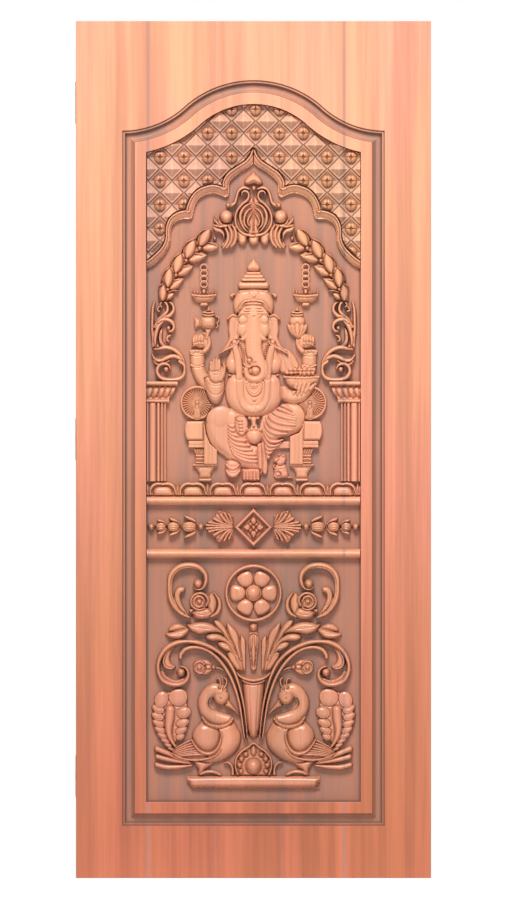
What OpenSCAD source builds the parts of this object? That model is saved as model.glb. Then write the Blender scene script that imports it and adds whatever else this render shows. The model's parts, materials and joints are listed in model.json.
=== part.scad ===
// Carved temple door leaf: five glued planks with a sunk arched field, planted carvings in the
// field, and three butt hinges on the left edge. Front towards -Y, bottom at z = 0.

/* [Leaf] */
// Width of the leaf
leaf_w = 870; // [700:10:1100]
// Height of the leaf
leaf_h = 2100; // [1700:10:2600]
// Thickness of the planks
leaf_t = 45; // [38:1:60]
// Depth of the sunk field below the front face
field_depth = 20; // [14:1:24]
// Thickness of the loose tongues in the glued joints
tongue_t = 6; // [4:1:8]
// Width of the loose tongues
tongue_w = 24; // [16:1:30]

/* [Moulding] */
// Depth of the first step of the moulding
step_depth = 4; // [2:0.5:6]
// Depth of the groove floor of the moulding
groove_depth = 12; // [8:0.5:16]

/* [Carving] */
// How far the highest carving stays below the front face
relief_shy = 1; // [0.5:0.5:4]
// Gap between one planted carving and the next
plant_gap = 0.3; // [0.1:0.1:0.6]
// Side of one lattice square along its diagonal
lattice_pitch = 58.5; // [50:0.5:64]
// Radius of a lattice button
button_r = 15.5; // [10:0.5:17]

/* [Hinges] */
// Height of one hinge
hinge_h = 100; // [80:1:140]
// Thickness of a hinge plate
plate_t = 2.5; // [2:0.1:3.5]
// Gap between the closed plates
plate_gap = 1; // [0.5:0.1:2]
// How far the frame plate stands proud of the leaf's edge
edge_gap = 1.5; // [1:0.1:3]
// Radius of a hinge knuckle
knuckle_r = 5.5; // [5:0.1:8]
// Radius of a hinge pin
pin_r = 3; // [2.5:0.1:4]
// Radial running clearance of the pin in the leaf's knuckles
pin_clear = 0.05; // [0.02:0.01:0.1]
// Gap between one knuckle and the next
knuckle_gap = 0.4; // [0.2:0.1:0.8]
// Radius of a screw shank, and of its hole
screw_r = 2.2; // [1.8:0.1:2.6]
// Radius of a screw head
screw_head_r = 4.2; // [3.6:0.1:4.8]
// Length of a screw
screw_len = 30; // [20:1:38]

/* [Hidden] */
$fn = 48;
eps = 0.01;

// The carving is drawn on an 870 x 2100 face and grows with the leaf
design_w = 870;
design_h = 2100;
kx = leaf_w / design_w;
kz = leaf_h / design_h;
front_y = -leaf_t / 2;
back_y = leaf_t / 2;
ground_y = front_y + field_depth;
relief = field_depth - relief_shy;

teak = "#d8986c";
teak_dark = "#b97a55";
brass = "#b08d4a";

// ---------- points and outlines ----------
function scaled(p) = [for (q = p) [q[0] * kx, q[1] * kz]];
function reversed(p) = [for (i = [len(p) - 1 : -1 : 0]) p[i]];
function arc(c, r, a0, a1, n) =
    [for (i = [0 : n]) c + r * [cos(a0 + (a1 - a0) * i / n), sin(a0 + (a1 - a0) * i / n)]];
function ring_pts(c, rx, rz, n = 20) =
    [for (i = [0 : n - 1]) c + [rx * cos(360 * i / n), rz * sin(360 * i / n)]];
// Smooth curve through a few points (each may carry a half width as a third number)
function blend4(a, b, c, d, t) =
    0.5 * (2 * b + (c - a) * t + (2 * a - 5 * b + 4 * c - d) * t * t
        + (3 * b - a - 3 * c + d) * t * t * t);
function curve(p, n = 3) = concat(
    [for (i = [0 : len(p) - 2]) for (j = [0 : n - 1])
        blend4(p[max(i - 1, 0)], p[i], p[i + 1], p[min(i + 2, len(p) - 1)], j / n)],
    [p[len(p) - 1]]);
function beside(p, s) =
    [for (i = [0 : len(p) - 1])
        let (a = p[max(i - 1, 0)], b = p[min(i + 1, len(p) - 1)], d = [b[0] - a[0], b[1] - a[1]])
        [p[i][0], p[i][1]] + s * p[i][2] * [-d[1], d[0]] / norm(d)];
function strip(p) = concat(beside(p, 1), reversed(beside(p, -1)));
// A pointed leaf from base to tip with its half width
function leaf_pts(a, b, w, n = 5) =
    let (d = b - a, u = d / norm(d), v = [-u[1], u[0]])
    concat([for (i = [0 : n]) a + d * i / n + v * w * sin(180 * i / n)],
        [for (i = [n - 1 : -1 : 1]) a + d * i / n - v * w * sin(180 * i / n)]);

// Stands a flat outline on the sunk ground with a height towards the front
module raised(h, lift = 0)
    translate([0, ground_y - lift, 0]) rotate([90, 0, 0]) linear_extrude(height = h) children();
module shape(p, h = relief) raised(h) polygon(scaled(p));
module band(p, h = relief) shape(strip(curve(p)), h);
module ball(x, z, r, h = relief) shape(ring_pts([x, z], r, r, r > 10 ? 24 : 12), h);
module leaf(a, b, w, h = relief) shape(leaf_pts(a, b, w), h);
module block(x0, z0, x1, z1, h = relief) shape([[x0, z0], [x1, z0], [x1, z1], [x0, z1]], h);
module sided(s) mirror([s < 0 ? 1 : 0, 0, 0]) children();

// ---------- slab ----------
// Outline of the moulding, moved inwards by d: two crown arcs between two corner arcs
crown_r = 254.6;
crown_z = 1700.9;
corner_r = 227.2;
corner_x = 322;
corner_z = 2059;
sill_z = 127;
tangent_a = atan2(corner_z - crown_z, corner_x);
function field_half(d) =
    let (a_end = 180 + acos(d / (corner_r + d)))
    concat(
        [[corner_x - d, sill_z + d]],
        arc([corner_x, corner_z], corner_r + d, a_end, 180 + tangent_a, 8),
        arc([0, crown_z], crown_r - d, tangent_a, 90, 10));
function field_pts(d) =
    let (h = field_half(d)) scaled(concat(h, [for (i = [len(h) - 2 : -1 : 0]) [-h[i][0], h[i][1]]]));

moulding_w = 29;
moulding_step = 8;
field_inset = 59;

module sink(d, depth)
    translate([0, front_y + depth, 0]) rotate([90, 0, 0])
        linear_extrude(height = depth + 1) polygon(field_pts(d));
module groove(d0, d1, depth)
    translate([0, front_y + depth, 0]) rotate([90, 0, 0])
        linear_extrude(height = depth + 1) difference() {
            polygon(field_pts(d0));
            polygon(field_pts(d1));
        }

seams = [-435, -258.5, -95, 69, 222, 435];
tongue_y = (ground_y + back_y) / 2;
tongue_end = 60;
module tongue_space(x)
    translate([x * kx - tongue_w / 2, tongue_y - tongue_t / 2, tongue_end])
        cube([tongue_w, tongue_t, leaf_h - 2 * tongue_end]);

// One plank between two seams with its share of the border, the moulding and the field
module plank(i)
    difference() {
        translate([seams[i] * kx, front_y, 0])
            cube([(seams[i + 1] - seams[i]) * kx, leaf_t, leaf_h]);
        groove(0, moulding_w, step_depth);
        groove(moulding_step, moulding_w, groove_depth);
        sink(field_inset, field_depth);
        for (j = [i, i + 1])
            if (j > 0 && j < 5)
                tongue_space(seams[j]);
    }
module left_field_board() color(teak) plank(1);
module centre_board() color(teak) plank(2);
module right_field_board() color(teak) plank(3);
module right_edge_board() color(teak) plank(4);
module left_edge_board()
    color(teak) difference() {
        plank(0);
        for (z = hinge_zs) {
            hinge_mortise(z);
            leaf_screw_places(z) screw_body();
        }
    }
module board_splines()
    color(teak_dark) for (j = [1 : 4]) tongue_space(seams[j]);

// ---------- shrine ----------
arch_outer = [
    [0.15, 1788], [8, 1774], [20, 1758], [40, 1745], [60, 1731], [74, 1712], [77, 1702], [75, 1693.5],
    [80, 1694.5], [90, 1698], [100, 1699], [110, 1698], [130, 1691], [148, 1677],
    [160, 1657], [166, 1637], [180, 1634], [200, 1624], [212, 1606], [216, 1580], [219, 1558],
    [230, 1540], [250, 1521], [262.6, 1512]
];
arch_inner = [
    [262.6, 1493], [240, 1505], [220, 1524], [206, 1548], [203, 1575], [197, 1600], [180, 1612],
    [153, 1615], [146, 1635], [138, 1657], [120, 1672], [100, 1677], [80, 1672], [70, 1667],
    [60, 1673], [59, 1698], [50, 1714], [30, 1730], [10, 1742], [0.15, 1751]
];
// Width of the raised lip along the arch
lip_w = 4;
function lip(p, w) = concat(p, reversed(beside([for (q = p) [q[0], q[1], w]], -1)));
module cusped_arch(s)
    color(teak) sided(s) intersection() {
        union() {
            shape(concat(arch_outer, arch_inner), relief - 5);
            shape(lip(arch_outer, lip_w), relief);
        }
        block(plant_gap / 2, 1480, half_run, 1800);
    }

// Lattice ground above the arch: raised squares on their corners and sunk squares between them
lattice_x = 5;
lattice_z = 1825;
lattice_base = 6;
lattice_rise = 5;
function lattice_region(c) =
    let (h = field_half(field_inset + c), top = [for (i = [1 : len(h) - 1]) h[i]],
        low = beside([for (q = arch_outer) [q[0], q[1], c]], 1))
    scaled(concat([[262.6 - c, 1512 + 2 * c]], top,
        [for (i = [len(top) - 2 : -1 : 0]) [-top[i][0], top[i][1]]],
        [[c - 262.6, 1512 + 2 * c]], [for (i = [len(low) - 2 : -1 : 1]) [-low[i][0], low[i][1]]],
        [[0, arch_outer[0][1] + 2 * c]], [for (i = [1 : len(low) - 2]) low[i]]));
module lattice_spots(half)
    for (i = [-5 : 4], j = [-1 : 5])
        translate([(lattice_x + half + i * lattice_pitch) * kx, 0,
            (lattice_z + half - j * lattice_pitch) * kz]) children();
module lattice_panel()
    color(teak) {
        raised(lattice_base) polygon(lattice_region(1));
        intersection() {
            raised(relief) polygon(lattice_region(1.2));
            lattice_spots(lattice_pitch / 2) {
                translate([0, ground_y - lattice_base + eps, 0]) rotate([90, 0, 0])
                    cylinder(r = lattice_pitch / 2 - 1.5, h = lattice_rise, $fn = 4);
                translate([0, ground_y - lattice_base - lattice_rise + 2 * eps, 0]) rotate([90, 0, 0])
                    cylinder(r = 17, h = relief - lattice_base - lattice_rise - 2, $fn = 4);
            }
        }
    }
module lattice_buttons()
    color(teak_dark) intersection() {
        raised(relief) polygon(lattice_region(2.5));
        lattice_spots(0) translate([0, ground_y - lattice_base, 0]) rotate([90, 0, 0])
            cylinder(r = button_r, h = relief - lattice_base - 3, $fn = 24);
    }

module crest_half() {
    band([[45, 1618, 5], [40, 1640, 5], [30, 1652, 5], [20, 1662, 5.5], [12, 1673, 5], [11, 1683, 4.5]]);
    ball(21, 1682, 13, relief - 2);
    band([[29, 1691, 3], [37, 1685, 4], [40, 1676, 4.5], [43, 1662, 5], [49, 1652, 6], [58, 1647, 6],
        [65, 1648, 5]]);
    shape([[0, 1572], [0, 1660], [12, 1664], [30, 1653], [42, 1632], [46, 1612], [42, 1596],
        [32, 1582], [16, 1574]], relief - 3);
    shape([[0, 1551], [0, 1575], [16, 1576], [18, 1580], [36, 1584], [38, 1562], [30, 1551],
        [20, 1553], [15, 1560], [11, 1551]], relief - 4);
    ball(66, 1621, 17.5);
    shape([[38, 1570], [40, 1590], [48, 1602], [60, 1604], [72, 1600], [84, 1604], [88, 1606],
        [89, 1623], [98, 1623], [100, 1606], [100, 1596], [84, 1585], [74, 1580], [86, 1573], [78, 1562],
        [72, 1550], [70, 1541], [50, 1545], [42, 1556]], relief - 2);
}
module arch_crest()
    color(teak) {
        for (s = [-1, 1]) sided(s) crest_half();
        ball(0, 1689, 7);
    }
module crest_finial()
    color(teak) shape(concat([[0, 1733]], [[10, 1721], [20, 1714], [23, 1706], [21, 1699], [14, 1697.5],
        [0, 1697.5], [-14, 1697.5], [-21, 1699], [-23, 1706], [-20, 1714], [-10, 1721]]), relief - 3);

garland_outer = [[133, 1550, 108, 1590], [166, 1520, 145, 1567], [193, 1483, 178, 1533],
    [213, 1447, 206, 1498], [225, 1414, 222, 1455]];
garland_inner = [[128, 1541, 86, 1545], [158, 1513, 112, 1525], [185, 1478, 147, 1500],
    [205, 1443, 170, 1470]];
garland_c = [0, 1360];
garland_r = 227;
module garland(s)
    color(teak) sided(s) {
        shape(concat(arc(garland_c, garland_r + 4, 18, 56, 12), arc(garland_c, garland_r - 4, 56, 18, 12)),
            relief - 6);
        for (g = garland_outer) leaf([g[0], g[1]], [g[2], g[3]], 11, relief - 1);
        for (g = garland_inner) leaf([g[0], g[1]], [g[2], g[3]], 9, relief - 2);
    }

module scroll_bracket(s)
    color(teak) sided(s) {
        shape([[204, 1412], [196, 1400], [195, 1390], [203, 1376], [192, 1358], [197, 1343], [204, 1330],
            [205, 1318], [222, 1300], [206, 1297], [190, 1291], [178, 1276], [169, 1262], [164.5, 1244],
            [168, 1227], [182, 1217.5], [228, 1217.5], [262, 1217.5], [262, 1300], [246, 1300], [248, 1340],
            [249, 1385], [245, 1412]], relief - 7);
        band([[201, 1409, 3], [200, 1396, 4], [206, 1382, 4], [222, 1368, 5], [232, 1352, 5], [239, 1330, 4],
            [241, 1312, 3]], relief - 2);
        ball(208, 1347, 7);
        ball(213, 1246, 12);
        band([[236, 1272, 4], [215, 1272, 6], [195, 1279, 5], [180, 1272, 4], [173, 1258, 3]], relief - 2);
    }

// Middles of the two lamps, left and right
function lamp_x(s) = s < 0 ? 121.5 : 128;
module lamp_chain(s)
    color(teak_dark) sided(s) {
        for (z = [1465, 1480, 1495]) ball(lamp_x(s), z, 10, relief - 8);
        block(lamp_x(s) - 3.5, 1444, lamp_x(s) + 3.5, 1500, relief - 6);
    }
module hanging_lamp(s)
    color(teak) sided(s) {
        half = [[8, 1410], [10, 1400], [21, 1412], [29, 1420], [32, 1430], [30, 1442], [26, 1432], [21, 1439],
            [16, 1431], [11, 1437], [5, 1432]];
        shape([for (q = concat([half[1]], [half[0]], [for (i = [2 : 10]) half[i]], [[0, 1443.6]],
            [for (i = [10 : -1 : 2]) [-half[i][0], half[i][1]]], [[-8, 1410], [-10, 1400]]))
            [lamp_x(s) + q[0], q[1]]], relief - 5);
        block(lamp_x(s) - 31, 1424, lamp_x(s) + 31, 1430, relief - 1);
    }

module capital(s)
    color(teak) sided(s) {
        block(185, 1205, 262.6, 1217.2, relief);
        shape([[187, 1205.5], [262.6, 1205.5], [262.6, 1172], [206, 1172], [201, 1182], [192, 1192]], relief - 5);
        block(206, 1164, 262.6, 1174, relief - 2);
    }
pillar_flutes = [[217.5, 3.4], [225, 3.6], [233.5, 4.4], [247, 8.5], [258.2, 2.6]];
module pillar(s)
    color(teak) sided(s) {
        block(213, 971.6, 262.6, 1163.7, relief - 10);
        for (f = pillar_flutes)
            block(f[0] - f[1], 971.6, f[0] + f[1], 1163.7, relief - 3);
    }

// ---------- throne, figure and mouse ----------
// Edges of the figure's legs where the throne's posts meet them, top to bottom
leg_edge_left = [[119.5, 1119.5], [119.5, 1115], [117, 1088], [106, 1062], [88, 1046.5]];
leg_edge_right = [[120.5, 1119.5], [120.5, 1105], [110, 1090], [88, 1081]];
module throne_side(s, leg_edge)
    sided(s) {
        shape([[122, 1072], [163, 1072], [168, 1082], [170, 1097], [168, 1112], [163, 1119.5], [122, 1119.5]],
            relief - 2);
        block(121, 1053, 160, 1073, relief - 5);
        shape([[121, 1014], [143, 1014], [143, 1036], [150, 1054], [121, 1054]], relief - 8);
        shape(concat([for (q = leg_edge) q + [0.8, -0.4]], [[88.8, 1013], [122.5, 1013], [122.5, 1119.1]]),
            relief - 4);
        shape([[88, 1013], [148, 1013], [139, 1000], [133, 985], [133, 972], [104, 972], [104, 985],
            [99, 1000]], relief - 9);
    }
module throne()
    color(teak) {
        throne_side(-1, leg_edge_left);
        throne_side(1, leg_edge_right);
    }
wheel_x = 138;
wheel_z = 1164.5;
// The part of each wheel that the figure's arm, hand and leg hide
hidden_left = [[96, 1208], [123, 1208], [114.5, 1175.5], [103, 1158.5], [111, 1142.5], [121, 1121], [96, 1121]];
hidden_right = [[94, 1208], [151.5, 1208], [141, 1182.5], [121, 1166.5], [109, 1162], [122, 1149],
    [127, 1128], [125, 1120], [94, 1120]];
module throne_wheel(s, hidden)
    color(teak) sided(s) difference() {
        ball(wheel_x, wheel_z, 42, relief - 6);
        translate([0, -9, 0]) raised(relief) polygon(scaled(ring_pts([wheel_x, wheel_z], 37, 37, 32)));
        translate([0, 1, 0]) raised(relief + 2) polygon(scaled(hidden));
    }

module arm_upper() {
    shape([[-104, 1340], [-118, 1338], [-149, 1328], [-150, 1312], [-158, 1302], [-156, 1286], [-150, 1255],
        [-150, 1236], [-134, 1213], [-112, 1206], [-104, 1222], [-113, 1240], [-110, 1262], [-106, 1290],
        [-105, 1318]], relief - 5);
    shape([[-126, 1338], [-94, 1338], [-93, 1347], [-90, 1356], [-91, 1372], [-100, 1378], [-107, 1390],
        [-110, 1400], [-114, 1390], [-121, 1378], [-135, 1372], [-145, 1376], [-144, 1347], [-128, 1347]],
        relief - 4);
}
module legs() {
    shape(concat([[-40, 1146], [-60, 1152], [-75, 1157], [-95, 1153], [-110, 1141]],
        [for (q = leg_edge_left) [-q[0], q[1]]], [[-68, 1030], [-68, 980], [-32, 980], [-28, 972.3], [16, 972.3],
        [18, 988.5], [35, 988], [36, 1042], [50, 1046], [62, 1060], [62, 1068]],
        reversed(leg_edge_right), [[124, 1120.5], [126, 1128], [121, 1148], [108, 1161],
        [95, 1164], [75, 1161], [60, 1152], [40, 1140], [0, 1130]]), relief - 6);
    shape([[-44, 1128], [-15, 1124], [-12, 1090], [-26, 1083], [-44, 1092]], relief - 3);
    ball(2, 1084, 20, relief - 1);
}
module ganesha_figure()
    color(teak) {
        shape([[-29, 1462], [-29, 1470], [-17, 1480], [-17, 1496], [0, 1519], [17, 1496], [17, 1480], [29, 1470],
            [29, 1462]], relief - 4);
        shape([[-40, 1443], [-38, 1463], [38, 1463], [40, 1443]], relief - 2);
        shape([[-42, 1378], [-52, 1392], [-51, 1412], [-57, 1430], [-50, 1434], [-42, 1434], [-34, 1444],
            [34, 1444], [42, 1434], [50, 1434], [57, 1430], [51, 1412], [52, 1392], [42, 1378]], relief - 5);
        shape([[-86, 1282], [-76, 1298], [-66, 1311], [-62, 1325], [-63, 1356], [-63, 1372], [-50, 1380],
            [50, 1380], [63, 1372], [63, 1356], [62, 1325], [66, 1311], [76, 1298], [86, 1282], [70, 1291],
            [60, 1272], [-60, 1272], [-70, 1291]], relief - 8);
        shape([[-38, 1388], [-39, 1350], [-30, 1322], [-12, 1316], [12, 1316], [30, 1322], [39, 1350],
            [38, 1388]], relief - 2);
        band([[0, 1340, 19], [0, 1300, 20], [6, 1275, 19], [18, 1250, 16], [20, 1236, 12]]);
        band([[18, 1236, 12], [8, 1222, 9], [-4, 1221, 8], [-15, 1229, 8], [-18, 1244, 6]]);
        shape([[-60, 1282], [-69, 1264], [-67, 1250], [-60, 1226], [-66, 1215], [-70, 1190], [-66, 1165],
            [-50, 1144], [-10, 1129], [10, 1129], [50, 1144], [69, 1165], [71, 1190], [66, 1215], [60, 1226],
            [67, 1250], [69, 1264], [60, 1282]], relief - 3);
        arm_upper();
        sided(-1) arm_upper();
        shape([[-122, 1210], [-113, 1175], [-100, 1160], [-84, 1163], [-70, 1180], [-70, 1215], [-66, 1240],
            [-74, 1262], [-80, 1284], [-106, 1286], [-113, 1262], [-114, 1225]], relief - 2);
        shape([[67, 1200], [72, 1168], [96, 1158], [120, 1168], [140, 1184], [150, 1205], [162, 1214],
            [163, 1231], [156, 1240], [135, 1254], [104, 1255], [80, 1241], [74, 1225]], relief - 3);
        shape([[60, 1292], [96, 1286], [113, 1262], [119, 1244], [70, 1238]], relief - 7);
        legs();
    }
module mouse()
    color(teak) shape([[44, 978], [52, 992], [52, 1012], [60, 1024], [66, 1038], [77, 1037], [80, 1024],
        [86, 1012], [88, 992], [97, 988], [96, 978]], relief - 7);

// ---------- bands and frieze ----------
half_run = 262.6;
bead_h = 24;
petal_pitch = 73.5;
module bead(z)
    color(teak) {
        block(-half_run, z + plant_gap, half_run, z + bead_h - plant_gap, relief - 6);
        block(-half_run, z + 5, half_run, z + bead_h - 5, relief - 1);
    }
module upper_bead() bead(913);
module lower_bead() bead(783);
module lotus_band()
    color(teak) {
        block(-half_run, 937.3, half_run, 963, relief - 8);
        intersection() {
            block(-half_run, 937.3, half_run, 971.2);
            for (i = [-3 : 4])
                shape([for (a = [0 : 15 : 180]) [-2 + i * petal_pitch + 33.5 * cos(a), 938 + 33 * pow(sin(a), 0.6)]],
                    relief - 3);
        }
    }
module frieze_diamond()
    color(teak) {
        shape([[0, 811], [48, 859], [0, 907], [-48, 859]], relief - 7);
        difference() {
            shape([[0, 811], [48, 859], [0, 907], [-48, 859]], relief - 2);
            raised(relief) polygon(scaled([[0, 822], [37, 859], [0, 896], [-37, 859]]));
        }
        for (a = [0, 90, 180, 270]) leaf([0, 859], [26 * cos(a), 859 + 26 * sin(a)], 8, relief - 3);
        ball(0, 859, 5);
    }
palmette_tips = [[-119, 866], [-112, 880], [-101, 893], [-86, 903], [-66, 899],
    [-115, 848], [-104, 835], [-88, 823], [-68, 826]];
module frieze_palmette(s)
    color(teak) sided(-s) {
        for (t = palmette_tips) leaf([-49.5, 860], t, 6.5, relief - 4);
        leaf([-50, 860], [-90, 860], 8, relief - 3);
        ball(-130, 861, 8.3);
    }
module frieze_buds(s)
    color(teak) sided(-s) {
        shape([[-140, 861], [-150, 871], [-164, 872], [-172, 892], [-178, 882], [-178, 840], [-172, 830],
            [-164, 850], [-150, 851]], relief - 4);
        shape([[-179.5, 861], [-184, 868], [-196, 870], [-203, 885], [-209, 876], [-209, 846], [-203, 837],
            [-196, 852], [-184, 854]], relief - 4);
        shape([[-211, 861], [-218, 867], [-228, 869], [-235, 882], [-241, 874], [-241, 848], [-235, 841],
            [-228, 853], [-218, 855]], relief - 4);
        ball(-251, 861, 8.8);
    }

// ---------- lower panel ----------
medallion_z = 698;
module medallion_ring()
    color(teak) raised(relief - 4) difference() {
        polygon(scaled(ring_pts([0, medallion_z], 71, 71, 48)));
        polygon(scaled(ring_pts([0, medallion_z], 62, 62, 48)));
    }
module medallion_flower()
    color(teak) {
        for (a = [0 : 60 : 300])
            shape(ring_pts([38 * cos(a), medallion_z + 38 * sin(a)], 21, 21, 16), relief - 5);
        ball(0, medallion_z, 21);
    }
module medallion_stem()
    color(teak) {
        ball(0, 614, 11.5);
        shape([[-8, 606], [8, 606], [12.5, 594], [11, 574], [6, 508], [-6, 508], [-11, 574], [-12.5, 594]],
            relief - 9);
    }

module upper_scroll(s)
    color(teak) sided(-s) {
        shape([[-157, 636], [-181, 650], [-202, 678], [-212, 712], [-210, 743], [-193, 764], [-165, 774],
            [-137, 770], [-115, 752], [-110, 733], [-115, 714], [-127, 702], [-141, 702], [-150, 712],
            [-150, 724], [-138, 732], [-132, 742], [-142, 752], [-164, 756], [-184, 748], [-193, 730],
            [-193, 716], [-182, 719], [-169, 715], [-164, 707], [-171, 699], [-176, 686], [-167, 662]],
            relief - 5);
        band([[-162, 642, 3], [-184, 658, 3.5], [-201, 686, 4], [-207, 714, 4], [-203, 742, 4], [-187, 760, 4],
            [-163, 768, 4], [-138, 764, 4], [-120, 749, 4], [-115, 733, 4]], relief - 1);
        ball(-136, 718, 14);
    }
module rose(s)
    color(teak) sided(-s) {
        shape([[-152, 640], [-136, 632], [-112, 633], [-96, 640], [-83, 648], [-77, 664], [-78, 680],
            [-86, 694], [-98, 702], [-112, 692], [-128, 697], [-144, 692], [-152, 682], [-154, 668],
            [-150, 656], [-158, 655]], relief - 5);
        ball(-133, 678, 17, relief - 1);
    }
acanthus_tips = [[-160, 623, 8], [-124, 598, 6], [-101, 632, 7], [-96, 582, 5], [-69, 626, 7], [-71, 552, 4],
    [-38, 597, 6]];
module acanthus(s)
    color(teak) sided(-s) {
        shape([[-21, 509], [-19, 545], [-21, 577], [-29, 574], [-38, 601], [-50, 600], [-68, 630], [-80, 620],
            [-99, 636], [-112, 626], [-132, 624], [-164, 628], [-160, 612], [-146, 604], [-129, 594],
            [-118, 594], [-103, 581], [-94, 580], [-84, 566], [-76, 565], [-68, 548], [-61, 546], [-52, 524],
            [-46, 520], [-41, 507]], relief - 7);
        for (t = acanthus_tips) leaf([-33, 518], [t[0], t[1]], t[2], relief - 4);
        shape([[-217, 602], [-205, 594], [-192, 588], [-172, 600], [-166, 611], [-175, 620], [-190, 627],
            [-196, 612]], relief - 6);
    }
module lower_scroll(s)
    color(teak) sided(-s) {
        shape([[-13, 341], [-17, 365], [-22, 395], [-25.5, 430], [-28.5, 462], [-31, 485], [-43.5, 493],
            [-44, 506], [-51, 509], [-66, 528], [-88, 552], [-106, 565], [-131, 576], [-167, 584],
            [-198, 582], [-223, 569], [-239, 547], [-243, 522], [-238, 497], [-224, 481], [-204, 472],
            [-180, 472], [-163, 484], [-157, 501], [-164, 518], [-178, 521], [-186, 530], [-172, 536],
            [-166, 550], [-148, 560], [-126, 558], [-106, 549], [-88, 541], [-70, 520], [-55, 492],
            [-44, 462], [-36, 430], [-31, 400], [-27, 380], [-20, 341]], relief - 8);
        band([[-18, 350, 2], [-25, 395, 2.5], [-31, 430, 2.5], [-38, 465, 3], [-55, 502, 3], [-84, 541, 3.5],
            [-118, 565, 4], [-158, 578, 4], [-194, 575, 4.5], [-219, 562, 4.5], [-234, 543, 4.5],
            [-237, 520, 4.5], [-231, 498, 4.5], [-218, 485, 4], [-200, 479, 4]], relief - 1);
        ball(-177, 505, 13);
    }
module rosebud(s)
    color(teak) sided(-s) {
        shape([[-148, 520], [-142, 534], [-128, 537], [-113, 532], [-105, 521], [-99, 515], [-104, 502],
            [-116, 496], [-130, 497], [-144, 506]], relief - 4);
        band([[-101, 516, 3.2], [-85, 515, 3], [-73, 509, 3]], relief - 8);
    }
module vase()
    color(teak) {
        shape([[-42, 505], [-40, 494], [-29, 487], [-26, 460], [-24, 430], [-20, 395], [-15, 362], [-10, 346],
            [0, 341], [10, 346], [15, 362], [20, 395], [24, 430], [26, 460], [29, 487], [40, 494], [42, 505],
            [20, 494], [0, 491], [-20, 494]], relief - 3);
    }
module lotus_drop()
    color(teak) {
        shape([[0, 334], [14, 324], [32, 313], [45, 297], [48, 279], [45, 261], [36, 251.5], [-36, 251.5],
            [-45, 261], [-48, 279], [-45, 297], [-32, 313], [-14, 324]], relief - 6);
        for (s = [-1, 1]) sided(s)
            shape([[73, 282], [60, 284], [49, 273], [44, 251.5], [58, 251.5], [58, 262], [64, 272]], relief - 8);
        ball(0, 272, 19, relief);
    }
plume_eyes = [[-190, 443, 21], [-226, 438, 16], [-165, 415, 12], [-238, 411, 12], [-239, 385, 11],
    [-234, 361, 11], [-224, 341, 10], [-171, 386, 10], [-178, 358, 9]];
module peacock(s)
    color(teak) sided(-s) {
        shape([[-106, 476], [-92, 481], [-88, 490], [-76, 495], [-66, 492], [-64, 480], [-61, 462], [-59, 446],
            [-48, 428], [-35, 400.5], [-50, 408], [-62, 417], [-66, 408], [-56, 398], [-46, 384], [-36, 366],
            [-29.5, 350], [-31, 332], [-37, 316], [-54, 298], [-80, 286], [-112, 276], [-118, 268],
            [-92, 267], [-80, 257], [-79, 250.6], [-142, 250.6], [-140, 262], [-146, 276], [-160, 276],
            [-192, 264], [-246, 273], [-250, 290], [-250, 304], [-246, 318], [-215, 312], [-195, 320],
            [-165, 350], [-150, 375], [-146, 400], [-143, 430], [-137, 461], [-122, 470]], relief - 6);
        shape([[-195, 467], [-226, 458], [-244, 442], [-252, 418], [-252, 387], [-246, 357], [-232, 332],
            [-207, 318], [-190, 322], [-158, 369], [-150, 400], [-153, 430], [-160, 451], [-177, 464]],
            relief - 9);
        for (e = plume_eyes) ball(e[0], e[1], e[2], relief - 6);
        leaf([-203, 326], [-203, 420], 15, relief - 4);
        shape(ring_pts([-112, 345], 34, 38, 20), relief - 2);
        ball(-80, 445, 18, relief - 3);
    }
module base_plinth()
    color(teak) shape([[-150, 219], [150, 219], [158, 225], [163, 236], [163, 250], [-163, 250], [-163, 236],
        [-158, 225]], relief - 6);

module cusped_arch_left() cusped_arch(-1);
module cusped_arch_right() cusped_arch(1);
module garland_left() garland(-1);
module garland_right() garland(1);
module scroll_bracket_left() scroll_bracket(-1);
module scroll_bracket_right() scroll_bracket(1);
module capital_left() capital(-1);
module capital_right() capital(1);
module pillar_left() pillar(-1);
module pillar_right() pillar(1);
module lamp_chain_left() lamp_chain(-1);
module lamp_chain_right() lamp_chain(1);
module hanging_lamp_left() hanging_lamp(-1);
module hanging_lamp_right() hanging_lamp(1);
module throne_wheel_left() throne_wheel(-1, hidden_left);
module throne_wheel_right() throne_wheel(1, hidden_right);
module frieze_palmette_left() frieze_palmette(-1);
module frieze_palmette_right() frieze_palmette(1);
module frieze_buds_left() frieze_buds(-1);
module frieze_buds_right() frieze_buds(1);
module upper_scroll_left() upper_scroll(-1);
module upper_scroll_right() upper_scroll(1);
module rose_left() rose(-1);
module rose_right() rose(1);
module acanthus_left() acanthus(-1);
module acanthus_right() acanthus(1);
module lower_scroll_left() lower_scroll(-1);
module lower_scroll_right() lower_scroll(1);
module rosebud_left() rosebud(-1);
module rosebud_right() rosebud(1);
module peacock_left() peacock(-1);
module peacock_right() peacock(1);

// ---------- hinges ----------
// Both plates lie in a mortise in the leaf's edge; the pin stands just behind the back face
hinge_zs = [250 * kz, leaf_h / 2 + 25, leaf_h - 200 * kz];
edge_x = -leaf_w / 2;
frame_face_x = edge_x - edge_gap;
frame_plate_x = frame_face_x + plate_t;
leaf_plate_x = frame_plate_x + plate_gap;
mortise_x = leaf_plate_x + plate_t;
pin_x = frame_face_x + knuckle_r;
back_clear = 1;
pin_y = back_y + back_clear + knuckle_r;
plate_front_y = -14;
mortise_clear = 1;
knuckles = 5;
knuckle_h = (hinge_h - (knuckles - 1) * knuckle_gap) / knuckles;
screw_dy = 18;
screw_dz = 70;
screw_y = 3;
pin_head_h = 3;

module hinge_mortise(z)
    translate([edge_x - 1, plate_front_y - mortise_clear, z - hinge_h / 2 - 0.3])
        cube([mortise_x - edge_x + 1, back_y - plate_front_y + mortise_clear + 1, hinge_h + 0.6]);
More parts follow.
